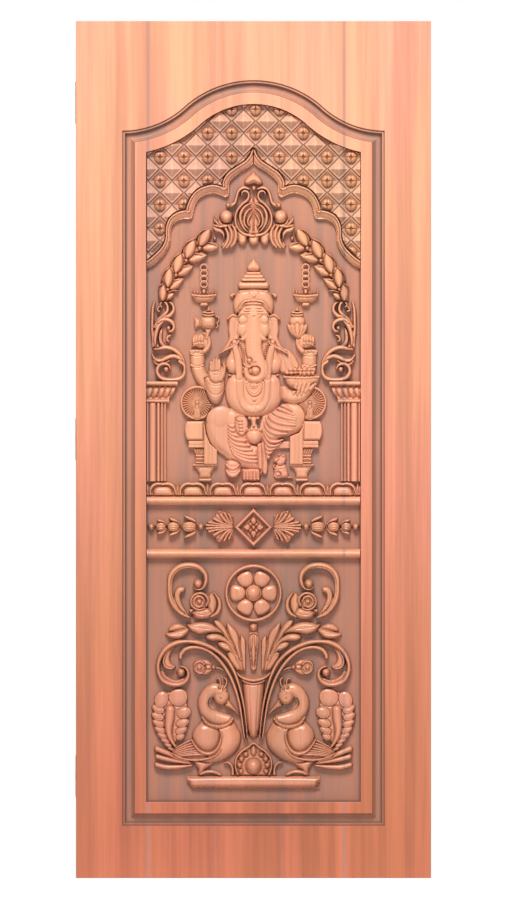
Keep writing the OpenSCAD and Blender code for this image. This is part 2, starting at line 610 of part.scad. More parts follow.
// Four screws on a plate at x, pointing along +X
module screw_places(x, z)
    for (dy = [-0.5, 0.5], dz = [-0.5, 0.5])
        translate([x, screw_y + dy * screw_dy, z + dz * screw_dz]) rotate([0, 90, 0]) children();
module leaf_screw_places(z) screw_places(leaf_plate_x, z) children();
sink_h = 1.3;
module screw_body() {
    cylinder(r1 = screw_head_r, r2 = screw_r, h = sink_h);
    translate([0, 0, sink_h - eps]) cylinder(r = screw_r, h = screw_len - sink_h);
}
// One plate with its knuckles, from the first one it owns, bored for the pin
module hinge_side(z, first, x0, bore)
    difference() {
        union() {
            translate([x0, plate_front_y, z - hinge_h / 2])
                cube([plate_t, back_y - plate_front_y + back_clear / 2, hinge_h]);
            for (k = [first : 2 : knuckles - 1])
                translate([0, 0, z - hinge_h / 2 + k * (knuckle_h + knuckle_gap)]) {
                    translate([pin_x, pin_y, 0]) cylinder(r = knuckle_r, h = knuckle_h);
                    translate([x0, back_y, 0]) cube([plate_t, pin_y - back_y, knuckle_h]);
                }
        }
        translate([pin_x, pin_y, z - hinge_h]) cylinder(r = bore, h = 2 * hinge_h);
        children();
    }
module hinge_leaf_plates()
    color(brass) for (z = hinge_zs)
        hinge_side(z, 1, leaf_plate_x, pin_r + pin_clear)
            screw_places(leaf_plate_x, z) screw_body();
module hinge_frame_plates()
    color(brass) for (z = hinge_zs)
        hinge_side(z, 0, frame_face_x, pin_r)
            screw_places(frame_plate_x, z) mirror([0, 0, 1]) screw_body();
module hinge_pins()
    color(brass) for (z = hinge_zs)
        translate([pin_x, pin_y, z - hinge_h / 2]) {
            cylinder(r = pin_r, h = hinge_h);
            for (e = [-pin_head_h, hinge_h]) translate([0, 0, e]) cylinder(r = pin_r + 1.5, h = pin_head_h);
        }
module hinge_screws()
    color(brass) for (z = hinge_zs) screw_places(leaf_plate_x, z) screw_body();

left_edge_board();
left_field_board();
centre_board();
right_field_board();
right_edge_board();
board_splines();
lattice_panel();
lattice_buttons();
cusped_arch_left();
cusped_arch_right();
arch_crest();
crest_finial();
garland_left();
garland_right();
scroll_bracket_left();
scroll_bracket_right();
capital_left();
capital_right();
pillar_left();
pillar_right();
lamp_chain_left();
lamp_chain_right();
hanging_lamp_left();
hanging_lamp_right();
throne();
throne_wheel_left();
throne_wheel_right();
ganesha_figure();
mouse();
lotus_band();
upper_bead();
lower_bead();
frieze_diamond();
frieze_palmette_left();
frieze_palmette_right();
frieze_buds_left();
frieze_buds_right();
medallion_ring();
medallion_flower();
medallion_stem();
upper_scroll_left();
upper_scroll_right();
rose_left();
rose_right();
acanthus_left();
acanthus_right();
lower_scroll_left();
lower_scroll_right();
rosebud_left();
rosebud_right();
vase();
lotus_drop();
peacock_left();
peacock_right();
base_plinth();
hinge_leaf_plates();
hinge_frame_plates();
hinge_pins();
hinge_screws();
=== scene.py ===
"""Carved temple door leaf: five planks with a moulded, sunk field, and the carvings planted in it.

Every carving is a relief: a field of heights above the sunk ground, built up from strokes, leaves,
domes and patches in millimetres, and turned into a closed mesh with a clean outline.
"""
import json
import math

import bmesh
import bpy
import numpy as np
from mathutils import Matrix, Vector
from mathutils.geometry import delaunay_2d_cdt

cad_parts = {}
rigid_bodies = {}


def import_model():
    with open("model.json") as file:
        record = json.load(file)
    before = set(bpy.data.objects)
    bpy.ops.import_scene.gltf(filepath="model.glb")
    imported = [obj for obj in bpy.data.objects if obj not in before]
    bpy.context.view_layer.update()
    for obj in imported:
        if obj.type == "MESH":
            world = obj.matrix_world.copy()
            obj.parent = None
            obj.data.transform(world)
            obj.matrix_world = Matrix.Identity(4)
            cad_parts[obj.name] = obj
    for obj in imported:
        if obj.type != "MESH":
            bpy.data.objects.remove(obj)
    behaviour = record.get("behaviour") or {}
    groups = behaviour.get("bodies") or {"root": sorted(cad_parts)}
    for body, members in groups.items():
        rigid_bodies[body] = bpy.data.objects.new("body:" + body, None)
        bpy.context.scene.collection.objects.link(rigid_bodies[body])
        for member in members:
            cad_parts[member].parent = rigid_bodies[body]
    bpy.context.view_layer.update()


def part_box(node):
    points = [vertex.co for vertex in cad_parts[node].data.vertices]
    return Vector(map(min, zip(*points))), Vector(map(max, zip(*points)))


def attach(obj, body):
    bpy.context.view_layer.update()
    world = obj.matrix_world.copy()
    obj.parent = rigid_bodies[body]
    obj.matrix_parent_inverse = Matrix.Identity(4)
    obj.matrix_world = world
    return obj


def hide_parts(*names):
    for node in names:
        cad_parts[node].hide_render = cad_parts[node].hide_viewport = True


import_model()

MM = 0.001


def mm_box(name):
    """Lowest and highest corner of a node in millimetres."""
    low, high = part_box(name)
    return [v / MM for v in low], [v / MM for v in high]


# ---------------------------------------------------------------- sizes taken from the frame
PLANKS = ["left_edge_board", "left_field_board", "centre_board", "right_field_board", "right_edge_board"]
HALF_W = mm_box("right_edge_board")[1][0]
LEAF_H = mm_box("centre_board")[1][2]
FRONT_Y, BACK_Y = mm_box("centre_board")[0][1], mm_box("centre_board")[1][1]
GROUND_Y = mm_box("vase")[1][1]
FIELD_DEPTH = GROUND_Y - FRONT_Y
SEAMS = [mm_box(name)[0][0] for name in PLANKS] + [HALF_W]


# ---------------------------------------------------------------- curves
def smooth_path(points, per=8):
    """A smooth curve through a few points, each an x, z and any further values."""
    p = np.array(points, dtype=float)
    if len(p) < 3:
        t = np.linspace(0, 1, per + 1)[:, None]
        return p[0] * (1 - t) + p[-1] * t
    ends = np.vstack([2 * p[0] - p[1], p, 2 * p[-1] - p[-2]])
    t = np.linspace(0, 1, per, endpoint=False)[:, None]
    out = []
    for i in range(1, len(ends) - 2):
        a, b, c, d = ends[i - 1], ends[i], ends[i + 1], ends[i + 2]
        out.append(0.5 * (2 * b + (c - a) * t + (2 * a - 5 * b + 4 * c - d) * t**2
                          + (3 * b - a - 3 * c + d) * t**3))
    return np.vstack(out + [p[-1:]])


def ring_path(cx, cz, r, start, end, n=24):
    """Points on a circle between two angles in degrees."""
    a = np.radians(np.linspace(start, end, n))
    return np.stack([cx + r * np.cos(a), cz + r * np.sin(a)], axis=1)


def flip(points):
    """The same points on the other side of the door."""
    return [(-q[0], *q[1:]) for q in points]


def marks(text):
    """Points written out as "x z, x z" or, with a third value to each, such as a half width."""
    if not isinstance(text, str):
        return text
    return [tuple(float(v) for v in mark.split()) for mark in text.split(",")]


def mirrored(text):
    """A half outline or path in x and z, followed by its own mirror image."""
    half = marks(text)
    return half + flip([q for q in half[::-1] if q[0]])


def segment_distance(X, Z, a, b):
    (ax, az), (bx, bz) = a, b
    dx, dz = bx - ax, bz - az
    t = np.clip(((X - ax) * dx + (Z - az) * dz) / (dx * dx + dz * dz + 1e-9), 0, 1)
    return np.hypot(X - ax - t * dx, Z - az - t * dz)


def path_distance(X, Z, path):
    p = np.array(path, dtype=float)[:, :2]
    return np.minimum.reduce([segment_distance(X, Z, a, b) for a, b in zip(p[:-1], p[1:])])


def signed_distance(X, Z, outline):
    """Distance to a closed outline, negative inside it."""
    p = np.array(outline, dtype=float)
    best = path_distance(X, Z, np.vstack([p, p[:1]]))
    inside = np.zeros(np.shape(X), dtype=bool)
    for (ax, az), (bx, bz) in zip(p, np.roll(p, -1, axis=0)):
        if az != bz:
            inside ^= ((az > Z) != (bz > Z)) & (X < (bx - ax) * (Z - az) / (bz - az) + ax)
    return np.where(inside, -best, best)


# ---------------------------------------------------------------- relief kit
ROUND = 0.72  # power of a rounded top's profile
EVERYWHERE = (slice(None), slice(None))
EDGE_LIFT = 0.28  # share of a moulding's height that stands up straight at its edge
GROOVE_WIDTH = 1.8
TONE_BLURS = ((6, 0.55), (22, 0.25))  # passes and weight of the fine and of the broad hollows, where the tone paints shade, and of the crests, where it paints highlight
FAR = 99.0  # distance in millimetres where no shape has been laid yet
NEAREST = 0.03  # millimetres that an outline keeps from every point of the grid
THINNEST = 0.8  # millimetres left under the deepest groove
RIM_SHARE = 0.8  # height of the outline's own points, as a share of the height just inside


def blurred(grid, passes):
    """A soft blur, one grid step wide a pass."""
    for _ in range(passes):
        p = np.pad(grid, 1, mode="edge")
        grid = (p[:-2, 1:-1] + p[2:, 1:-1] + p[1:-1, :-2] + p[1:-1, 2:] + 4 * p[1:-1, 1:-1]) / 8
    return grid


class Relief:
    """Heights above the sunk ground on a grid over a node's box, with the outline as a signed distance."""

    def __init__(self, node, step, groove_scale=0.8):
        low, high = mm_box(node)
        self.groove_scale = groove_scale
        self.node, self.step = node, step
        self.depth = GROUND_Y - low[1]
        self.box = (low[0], low[2], high[0], high[2])
        edge = 3 * step
        self.x = np.arange(low[0] - edge, high[0] + edge + step, step)
        self.z = np.arange(low[2] - edge, high[2] + edge + step, step)
        self.X, self.Z = np.meshgrid(self.x, self.z)
        self.H = np.zeros(self.X.shape)
        self.S = np.full(self.X.shape, FAR)
        self.hand, self.origin = 1, (0, 0)

    def both_sides(self):
        """The same work on the right of the door and then, mirrored, on the left."""
        for self.hand in (1, -1):
            yield self.hand
        self.hand = 1

    def on_side(self, points):
        """Points counted from the origin, on the side of the door being worked on."""
        x, z = self.origin
        return [(self.hand * (q[0] + x), q[1] + z, *q[2:]) for q in marks(points)]

    def window(self, x0, x1, z0, z1, pad=8):
        i0, i1 = np.searchsorted(self.x, [x0 - pad, x1 + pad])
        j0, j1 = np.searchsorted(self.z, [z0 - pad, z1 + pad])
        return slice(max(j0, 0), max(j1, 1)), slice(max(i0, 0), max(i1, 1))

    def put(self, win, sd, h, groove=1.6, outline=True, tallest=False):
        """Lays a shape over what is there, with a groove pressed round it."""
        H = self.H[win]
        if groove:
            depth = groove * self.groove_scale * np.exp(-(sd / GROOVE_WIDTH) ** 2)
            H -= np.where(sd > 0, depth, 0) * np.minimum(1, H / 4)
        cover = np.clip(0.5 - sd / self.step, 0, 1)
        h = np.maximum(h, H) if tallest else h
        H[...] = H * (1 - cover) + h * cover
        if outline:
            self.S[win] = np.minimum(self.S[win], sd)

    def near_path(self, path):
        """Window, distance, signed side, position along and half width of a smooth path."""
        reach = path[:, 2].max()
        win = self.window(path[:, 0].min() - reach, path[:, 0].max() + reach,
                          path[:, 1].min() - reach, path[:, 1].max() + reach)
        X, Z = self.X[win], self.Z[win]
        best = np.full(X.shape, np.inf)
        side, along, half = np.zeros(X.shape), np.zeros(X.shape), np.full(X.shape, 1.0)
        n = len(path) - 1
        for k in range(n):
            (ax, az, aw), (bx, bz, bw) = path[k, :3], path[k + 1, :3]
            dx, dz = bx - ax, bz - az
            length = dx * dx + dz * dz + 1e-9
            t = np.clip(((X - ax) * dx + (Z - az) * dz) / length, 0, 1)
            ex, ez = X - ax - t * dx, Z - az - t * dz
            d = np.hypot(ex, ez)
            w = aw + (bw - aw) * t
            m = d - w < best
            best[m] = (d - w)[m]
            side[m] = (np.sign(dx * ez - dz * ex) * d)[m]
            along[m] = (k + t)[m] / n
            half[m] = w[m]
        return win, best, side, along, half

    def stroke(self, points, low, high, flat=False, groove=1.6, per=8, outline=True, tallest=False):
        """A moulded strip along points of x, z and half width, from a low edge to a high middle."""
        win, sd, side, along, half = self.near_path(smooth_path(self.on_side(points), per))
        u = np.clip(np.abs(side) / np.maximum(half, 0.1), 0, 1)
        rise = np.ones_like(u) if flat else np.clip(1 - u**2, 0, 1) ** ROUND
        low += EDGE_LIFT * (high - low)
        self.put(win, sd, low + (high - low) * rise, groove, outline=outline, tallest=tallest)

    def line(self, points, depth, per=6):
        """A cut (or, with a negative depth, a raised thread) along points of x, z and half width."""
        win, sd, side, along, half = self.near_path(smooth_path(self.on_side(points), per))
        self.H[win] -= depth * np.exp(-(side / np.maximum(half, 0.1)) ** 2) * (sd < 3 * half)

    def dome(self, x, z, rx, rz, low, high, turn=0.0, groove=1.6, power=2.0, outline=True, tallest=False):
        """A dome on an ellipse turned by an angle in degrees."""
        a = math.radians(turn)
        r = max(rx, rz)
        x, z = self.on_side([(x, z)])[0]
        win = self.window(x - r, x + r, z - r, z + r)
        X, Z = self.X[win] - x, self.Z[win] - z
        u, v = X * math.cos(a) + Z * math.sin(a), -X * math.sin(a) + Z * math.cos(a)
        q = np.sqrt((u / rx) ** 2 + (v / rz) ** 2)
        sd = (q - 1) * min(rx, rz)
        rise = np.clip(1 - np.clip(q, 0, 1) ** power, 0, 1) ** ROUND
        self.put(win, sd, low + (high - low) * rise, groove, outline=outline, tallest=tallest)

    def ball(self, x, z, r, low, high, **more):
        self.dome(x, z, r, r, low, high, **more)

    def polygon_sd(self, points, pad=8):
        """Window and signed distance of a closed outline with straight sides."""
        p = np.array(self.on_side(points), dtype=float)
        win = self.window(p[:, 0].min(), p[:, 0].max(), p[:, 1].min(), p[:, 1].max(), pad)
        X, Z = self.X[win], self.Z[win]
        return win, signed_distance(X, Z, p)

    def patch(self, points, low, high, over=8.0, groove=1.6, rounded=True, outline=True, tallest=False):
        """A pillow on a closed outline, rising from its edge to full height over a distance."""
        points = marks(points)
        if rounded:
            points = smooth_path(list(points) + [points[0]], 5)[:-1, :2]
        win, sd = self.polygon_sd(points)
        q = np.clip(-sd / over, 0, 1)
        rise = (1 - (1 - q) ** 2) ** 0.8
        self.put(win, sd, low + (high - low) * rise, groove, outline=outline, tallest=tallest)

    def leaf(self, a, b, w, low, high, groove=1.6, belly=0.5, rib=0.0, bend=0.0, outline=True,
             tallest=False):
        """A pointed leaf from base a to tip b; belly says where it is widest, bend bows its middle line."""
        a, b = np.array(self.on_side([a, b]), dtype=float)
        d = b - a
        side = np.array([-d[1], d[0]])
        t = np.linspace(0, 1, 13)
        shape = (t / belly) * (t < belly) + ((1 - t) / (1 - belly)) * (t >= belly)
        width = w * np.sin(np.pi / 2 * np.clip(shape, 0, 1)) ** 0.85
        middle = a + t[:, None] * d + (np.sin(np.pi * t) * bend)[:, None] * side
        path = np.column_stack([middle, np.maximum(width, 0.15)])
        win, sd, across, along, half = self.near_path(path)
        u = np.clip(np.abs(across) / np.maximum(half, 0.1), 0, 1)
        rise = np.clip(1 - u**2, 0, 1) ** ROUND * (0.75 + 0.25 * np.sin(np.pi * np.clip(along, 0.02, 1)))
        low += EDGE_LIFT * (high - low)
        h = low + (high - low) * rise
        if rib:
            h = h - rib * np.exp(-(across / 1.1) ** 2) * np.clip(1.1 - along, 0, 1)
        self.put(win, sd, h, groove, outline=outline, tallest=tallest)

    def carve(self, wall=0.4, edge=3.0, name=None):
        """The finished heights as a closed mesh object that stands for its node."""
        S = np.where(np.abs(self.S) < NEAREST, -NEAREST, self.S)
        x0, z0, x1, z1 = self.box
        for bound in (x0 - self.X, self.X - x1, z0 - self.Z, self.Z - z1):
            S = np.maximum(S, np.where(np.abs(bound) < NEAREST, NEAREST, bound))
        H = np.clip(self.H, THINNEST, None)
        H = H * min(1.0, self.depth / max(H[S < 0].max(), 0.1))
        q = np.clip(-S / edge, 0, 1)
        H = H * (wall + (1 - wall) * np.sqrt(np.clip(1 - (1 - q) ** 2, 0, 1)))
        full = np.where(S < 0, H, 0)
        # tone: painted shade in the hollows (below the blurred height) and painted highlight on the crests
        # (above it)
        tone = sum((full - blurred(full, passes)) * weight for passes, weight in TONE_BLURS)
        return self.mesh(S, H, tone, name or "carved_" + self.node)

    def mesh(self, S, H, tone, name):
        """Top over the grid, a rim where the outline crosses it, straight sides and a flat back."""
        inside = S < 0
        grid = np.full(S.shape, -1)
        grid[inside] = np.arange(inside.sum())
        xs, zs, hs, ts = [self.X[inside]], [self.Z[inside]], [H[inside]], [tone[inside]]
        count = int(inside.sum())
        crossings = []
        for axis in (1, 0):
            A = (slice(None), slice(0, -1)) if axis else (slice(0, -1), slice(None))
            B = (slice(None), slice(1, None)) if axis else (slice(1, None), slice(None))
            cross = inside[A] != inside[B]
            t = np.where(cross, S[A] / np.where(cross, S[A] - S[B], 1), 0)[cross]
            index = np.full(S.shape, -1)
            sub = np.full(cross.shape, -1)
            sub[cross] = count + np.arange(cross.sum())
            index[A] = sub
            xs.append((self.X[A][cross]) * (1 - t) + self.X[B][cross] * t)
            zs.append((self.Z[A][cross]) * (1 - t) + self.Z[B][cross] * t)
            h = np.where(inside[A], H[A], H[B])[cross]
            hs.append(h * RIM_SHARE)
            ts.append(np.where(inside[A], tone[A], tone[B])[cross])
            crossings.append(index)
            count += int(cross.sum())
        first_rim = int(inside.sum())
        across, upward = crossings
        a, b, c, d = grid[:-1, :-1], grid[:-1, 1:], grid[1:, 1:], grid[1:, :-1]
        whole = (a >= 0) & (b >= 0) & (c >= 0) & (d >= 0)
        faces = np.stack([a[whole], b[whole], c[whole], d[whole]], axis=1).tolist()
        some = ((a >= 0) | (b >= 0) | (c >= 0) | (d >= 0)) & ~whole
        rim = []
        for j, i in zip(*np.nonzero(some)):
            corners = (grid[j, i], grid[j, i + 1], grid[j + 1, i + 1], grid[j + 1, i])
            sides = (across[j, i], upward[j, i + 1], across[j + 1, i], upward[j, i])
            loop = []
            for k in range(4):
                if corners[k] >= 0:
                    loop.append(int(corners[k]))
                if sides[k] >= 0:
                    loop.append(int(sides[k]))
            for k, v in enumerate(loop):
                w = loop[(k + 1) % len(loop)]
                if v >= first_rim and w >= first_rim:
                    rim.append((v, w))
            if len(loop) > 2:
                faces.append(loop)
        x, z, h = np.concatenate(xs), np.concatenate(zs), np.concatenate(hs)
        t = np.concatenate(ts)
        top = np.column_stack([x, GROUND_Y - h, z])
        foot_x, foot_z = x[first_rim:], z[first_rim:]
        foot = np.column_stack([foot_x, np.full(len(foot_x), GROUND_Y), foot_z])
        shift = len(top) - first_rim
        tops = len(faces)
        faces += [[w, v, v + shift, w + shift] for v, w in rim]
        edges = [(v - first_rim, w - first_rim) for v, w in rim]
        faces += [[len(top) + k for k in tri] for tri in flat_fill(foot_x, foot_z, edges)]
        obj = plain_mesh(name, np.vstack([top, foot]) * MM, faces)
        smooth = np.zeros(len(faces), dtype=bool)
        smooth[:tops] = True
        obj.data.polygons.foreach_set("use_smooth", smooth)
        # the feet of the sides get a tone of -3: painted shade where the carving meets the ground
        paint(obj, "tone", np.concatenate([t, np.full(len(foot), -3.0)]))
        paint(obj, "rise", np.concatenate([h, np.zeros(len(foot))]) * MM)
        return obj


def flat_fill(x, z, edges):
    """Triangles that fill closed loops (with holes), facing +Y."""
    verts = [Vector((float(a), float(b))) for a, b in zip(x, z)]
    _, _, tris, origin, _, _ = delaunay_2d_cdt(verts, edges, [], 0, 1e-5)
    back = [o[0] if o else -1 for o in origin]
    bound = {frozenset(e) for e in edges}
    owners = {}
    for k, tri in enumerate(tris):
        for m in range(3):
            owners.setdefault(frozenset((tri[m], tri[(m + 1) % 3])), []).append(k)
    named = {e: frozenset(back[v] for v in e) for e in owners}
    state = [None] * len(tris)
    queue = []
    for e, own in owners.items():
        if len(own) == 1 and state[own[0]] is None:
            state[own[0]] = named[e] in bound
            queue.append(own[0])
            break
    while queue:
        k = queue.pop()
        tri = tris[k]
        for m in range(3):
            e = frozenset((tri[m], tri[(m + 1) % 3]))
            for other in owners[e]:
                if state[other] is None:
                    state[other] = state[k] ^ (named[e] in bound)
                    queue.append(other)
    return [[back[v] for v in reversed(tri)] for tri, s in zip(tris, state) if s]


def stand(name, mesh):
    """A new object in the scene that holds a mesh."""
    obj = bpy.data.objects.new(name, mesh)
    bpy.context.collection.objects.link(obj)
    return obj


def plain_mesh(name, verts, faces):
    mesh = bpy.data.meshes.new(name)
    mesh.from_pydata([tuple(v) for v in verts], [], faces)
    mesh.update()
    return stand(name, mesh)


def from_bmesh(name, bm, outward=True):
    """A new object from a bmesh, its faces turned outwards."""
    if outward:
        bmesh.ops.recalc_face_normals(bm, faces=bm.faces)
    mesh = bpy.data.meshes.new(name)
    bm.to_mesh(mesh)
    bm.free()
    return stand(name, mesh)


def turn_outwards(obj):
    bm = bmesh.new()
    bm.from_mesh(obj.data)
    bmesh.ops.recalc_face_normals(bm, faces=bm.faces)
    bm.to_mesh(obj.data)
    bm.free()
    return obj


def join(name, obj, other):
    """Two objects as one, under a new name."""
    bm = bmesh.new()
    bm.from_mesh(obj.data)
    bm.from_mesh(other.data)
    bm.to_mesh(obj.data)
    bm.free()
    bpy.data.objects.remove(other, do_unlink=True)
    obj.name = name
    return obj


def paint(obj, name, values):
    """Stores a number at every vertex, for the materials to read."""
    layer = obj.data.attributes.new(name, "FLOAT", "POINT")
    layer.data.foreach_set("value", np.asarray(values, dtype=np.float32))


def finish_piece(obj, node, material):
    """Gives a piece its material and lets it stand for its node."""
    obj.data.materials.clear()
    obj.data.materials.append(material)
    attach(obj, "leaf")
    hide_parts(node)
    return obj


def other_hand(obj, node, material):
    """The same piece on the other side of the door."""
    twin = stand("carved_" + node, obj.data.copy())
    mesh = twin.data
    mesh.name = "carved_" + node
    co = np.empty(len(mesh.vertices) * 3, dtype=np.float32)
    mesh.vertices.foreach_get("co", co)
    co[0::3] *= -1
    mesh.vertices.foreach_set("co", co)
    mesh.flip_normals()
    mesh.update()
    return finish_piece(twin, node, material)


def beside(points, offset):
    """A path moved sideways, to its left for a positive offset."""
    p = np.array([q[:2] for q in points], dtype=float)
    d = np.gradient(p, axis=0)
    d /= np.hypot(d[:, 0], d[:, 1])[:, None] + 1e-9
    return p + offset * np.stack([-d[:, 1], d[:, 0]], axis=1)


def wide(points, w, ends=None):
    """Gives a path a half width, thinner at its two ends where asked."""
    p = np.array([q[:2] for q in points], dtype=float)
    t = np.linspace(0, 1, len(p))
    a, b = ends or (w, w)
    half = np.where(t < 0.5, a + (w - a) * np.sin(np.pi * np.clip(t, 0, 0.5)),
                    b + (w - b) * np.sin(np.pi * np.clip(1 - t, 0, 0.5)))
    return np.column_stack([p, half])


# ---------------------------------------------------------------- the moulding's outline
CROWN_R, CROWN_Z = 254.6, 1700.9
CORNER_R, CORNER_X, CORNER_Z = 227.2, 322.0, 2059.0
SILL_Z = 127.0
FIELD_INSET = 59.0
TANGENT = math.degrees(math.atan2(CORNER_Z - CROWN_Z, CORNER_X))


def field_half(d, corner=30, crown=40):
    """Right half of the moulding's outline, moved inwards by d, from the bottom corner to the crown."""
    first = 180 + math.degrees(math.acos(d / (CORNER_R + d)))
    return np.vstack([[[CORNER_X - d, SILL_Z + d]],
                      ring_path(CORNER_X, CORNER_Z, CORNER_R + d, first, 180 + TANGENT, corner),
                      ring_path(0, CROWN_Z, CROWN_R - d, TANGENT, 90, crown)[1:]])


def field_ring(d):
    half = field_half(d)
    return np.vstack([half, flip(half[:-1][::-1].tolist())])


# Depth below the face at each distance in from the moulding's outer edge, and its tone: painted shade in the
# grooves and under the steps, painted highlight on the edges
MOULDING = marks("0 0 0.4, 0.5 0.5 -1.2, 0.9 3.2 -3, 2 4.2 -3.2, 3.2 4 -2, 4.4 3.4 -0.9, 6.4 3.6 -1.1, "
                 "7.4 5.2 -2.4, 8.1 9.5 -3.4, 9.4 12 -3.5, 11.4 12.3 -3.2, 13 12.3 -1.3, 17 12.3 -0.9, "
                 "21 11.8 -1, 23.5 10.2 -1.5, 26 7.4 -1.6, 28 4.9 -1.5, 29.2 3.4 -2.6, 30.4 2.7 -3, "
                 "31 0.9 -2.4, 31.7 0.2 0.6, 33 0 0.6, 35 0 0, 54 0 0, 57.6 0 0.4, 58.5 0.3 1.2, 59 1.2 1")
MOULDING += [(59.4, FIELD_DEPTH - 1.0, -3.0), (60.2, FIELD_DEPTH, -3.5), (66.0, FIELD_DEPTH, -1.0)]


def make_slab():
    """The whole leaf in one piece, before it is cut along its seams."""
    rings = [field_ring(d) for d, _, _ in MOULDING]
    n = len(rings[0])
    verts, painted_shading, faces = [], [], []
    for (d, depth, shade), ring in zip(MOULDING, rings):
        verts += [(x, FRONT_Y + depth, z) for x, z in ring]
        painted_shading += [shade] * n
    for k in range(len(rings) - 1):
        for i in range(n):
            j = (i + 1) % n
            faces.append([k * n + i, (k + 1) * n + i, (k + 1) * n + j, k * n + j])
    last = (len(rings) - 1) * n
    floor = flat_fill(rings[-1][:, 0], rings[-1][:, 1], [(i, (i + 1) % n) for i in range(n)])
    faces += [[last + v for v in reversed(tri)] for tri in floor]
    corners = [(-HALF_W, 0), (HALF_W, 0), (HALF_W, LEAF_H), (-HALF_W, LEAF_H)]
    ease = 1.2
    base = len(verts)
    for inset, y in ((ease, FRONT_Y), (0, FRONT_Y + ease), (0, BACK_Y - ease), (ease, BACK_Y)):
        for x, z in corners:
            verts.append((x - math.copysign(inset, x), y, z + (inset if z == 0 else -inset)))
            # tone 0.8 on the eased edges: painted highlight
            painted_shading.append(0.8 if inset else 0.0)
    for k in range(3):
        for i in range(4):
            j = (i + 1) % 4
            faces.append([base + 4 * k + j, base + 4 * k + 4 + j, base + 4 * k + 4 + i, base + 4 * k + i])
    faces.append([base + 12 + i for i in (3, 2, 1, 0)])
    fx = np.concatenate([rings[0][:, 0], [verts[base + i][0] for i in range(4)]])
    fz = np.concatenate([rings[0][:, 1], [verts[base + i][2] for i in range(4)]])
    edges = [(i, (i + 1) % n) for i in range(n)] + [(n + i, n + (i + 1) % 4) for i in range(4)]
    border = flat_fill(fx, fz, edges)
    name = list(range(n)) + [base + i for i in range(4)]
    faces += [[name[v] for v in reversed(tri)] for tri in border]
    obj = plain_mesh("whole_leaf", np.array(verts) * MM, faces)
    paint(obj, "tone", painted_shading)
    return turn_outwards(obj)


TONGUE_W, TONGUE_T, TONGUE_END = 24.0, 6.0, 60.0
MORTISE_X, MORTISE_Y = -428.0, -15.0
HINGE_H = 100.6
HINGE_Z = (250.0, 1075.0, 1900.0)


def box_mesh(name, low, high):
    bm = bmesh.new()
    bmesh.ops.create_cube(bm, size=1)
    mid = (Vector(low) + Vector(high)) / 2
    for v in bm.verts:
        v.co = Vector([mid[k] + v.co[k] * (high[k] - low[k]) for k in range(3)]) * MM
    return from_bmesh(name, bm, outward=False)


def settle(obj, *tools):
    """Bakes an object's modifiers into a plain mesh and removes the helper objects."""
    depsgraph = bpy.context.evaluated_depsgraph_get()
    mesh = bpy.data.meshes.new_from_object(obj.evaluated_get(depsgraph), depsgraph=depsgraph)
    obj.modifiers.clear()
    obj.data = mesh
    for tool in tools:
        bpy.data.objects.remove(tool, do_unlink=True)
    return obj


def cut_out(obj, tool, keep=False):
    mod = obj.modifiers.new("cut", "BOOLEAN")
    mod.operation = "INTERSECT" if keep else "DIFFERENCE"
    mod.solver = "EXACT"
    mod.object = tool
    return settle(obj, tool)


def make_planks(slab, material):
    gap = 0.01
    for k, name in enumerate(PLANKS):
        plank = stand("plank_" + name, slab.data.copy())
        bm = bmesh.new()
        bm.from_mesh(plank.data)
        for x, out in ((SEAMS[k] + gap * (k > 0), -1), (SEAMS[k + 1] - gap * (k < 4), 1)):
            if abs(x) < HALF_W - 1:
                geom = bm.verts[:] + bm.edges[:] + bm.faces[:]
                cut = bmesh.ops.bisect_plane(bm, geom=geom, plane_co=(x * MM, 0, 0), plane_no=(out, 0, 0),
                                             clear_outer=True, dist=1e-7)
                edges = [e for e in cut["geom_cut"] if isinstance(e, bmesh.types.BMEdge)]
                bmesh.ops.edgeloop_fill(bm, edges=edges)
        bmesh.ops.triangulate(bm, faces=[f for f in bm.faces if len(f.verts) > 4])
        bmesh.ops.recalc_face_normals(bm, faces=bm.faces)
        bm.to_mesh(plank.data)
        bm.free()
        mid_y = (GROUND_Y + BACK_Y) / 2
        for j in (k, k + 1):
            if 0 < j < 5:
                cut_out(plank, box_mesh("tongue_slot", (SEAMS[j] - TONGUE_W / 2, mid_y - TONGUE_T / 2,
                        TONGUE_END), (SEAMS[j] + TONGUE_W / 2, mid_y + TONGUE_T / 2, LEAF_H - TONGUE_END)))
        if k == 0:
            for z in HINGE_Z:
                cut_out(plank, box_mesh("hinge_mortise", (-HALF_W - 5, MORTISE_Y, z - HINGE_H / 2),
                                        (MORTISE_X, BACK_Y + 5, z + HINGE_H / 2)))
        plank.data.polygons.foreach_set("use_smooth", np.zeros(len(plank.data.polygons), dtype=bool))
        finish_piece(plank, name, material)
    bpy.data.objects.remove(slab, do_unlink=True)


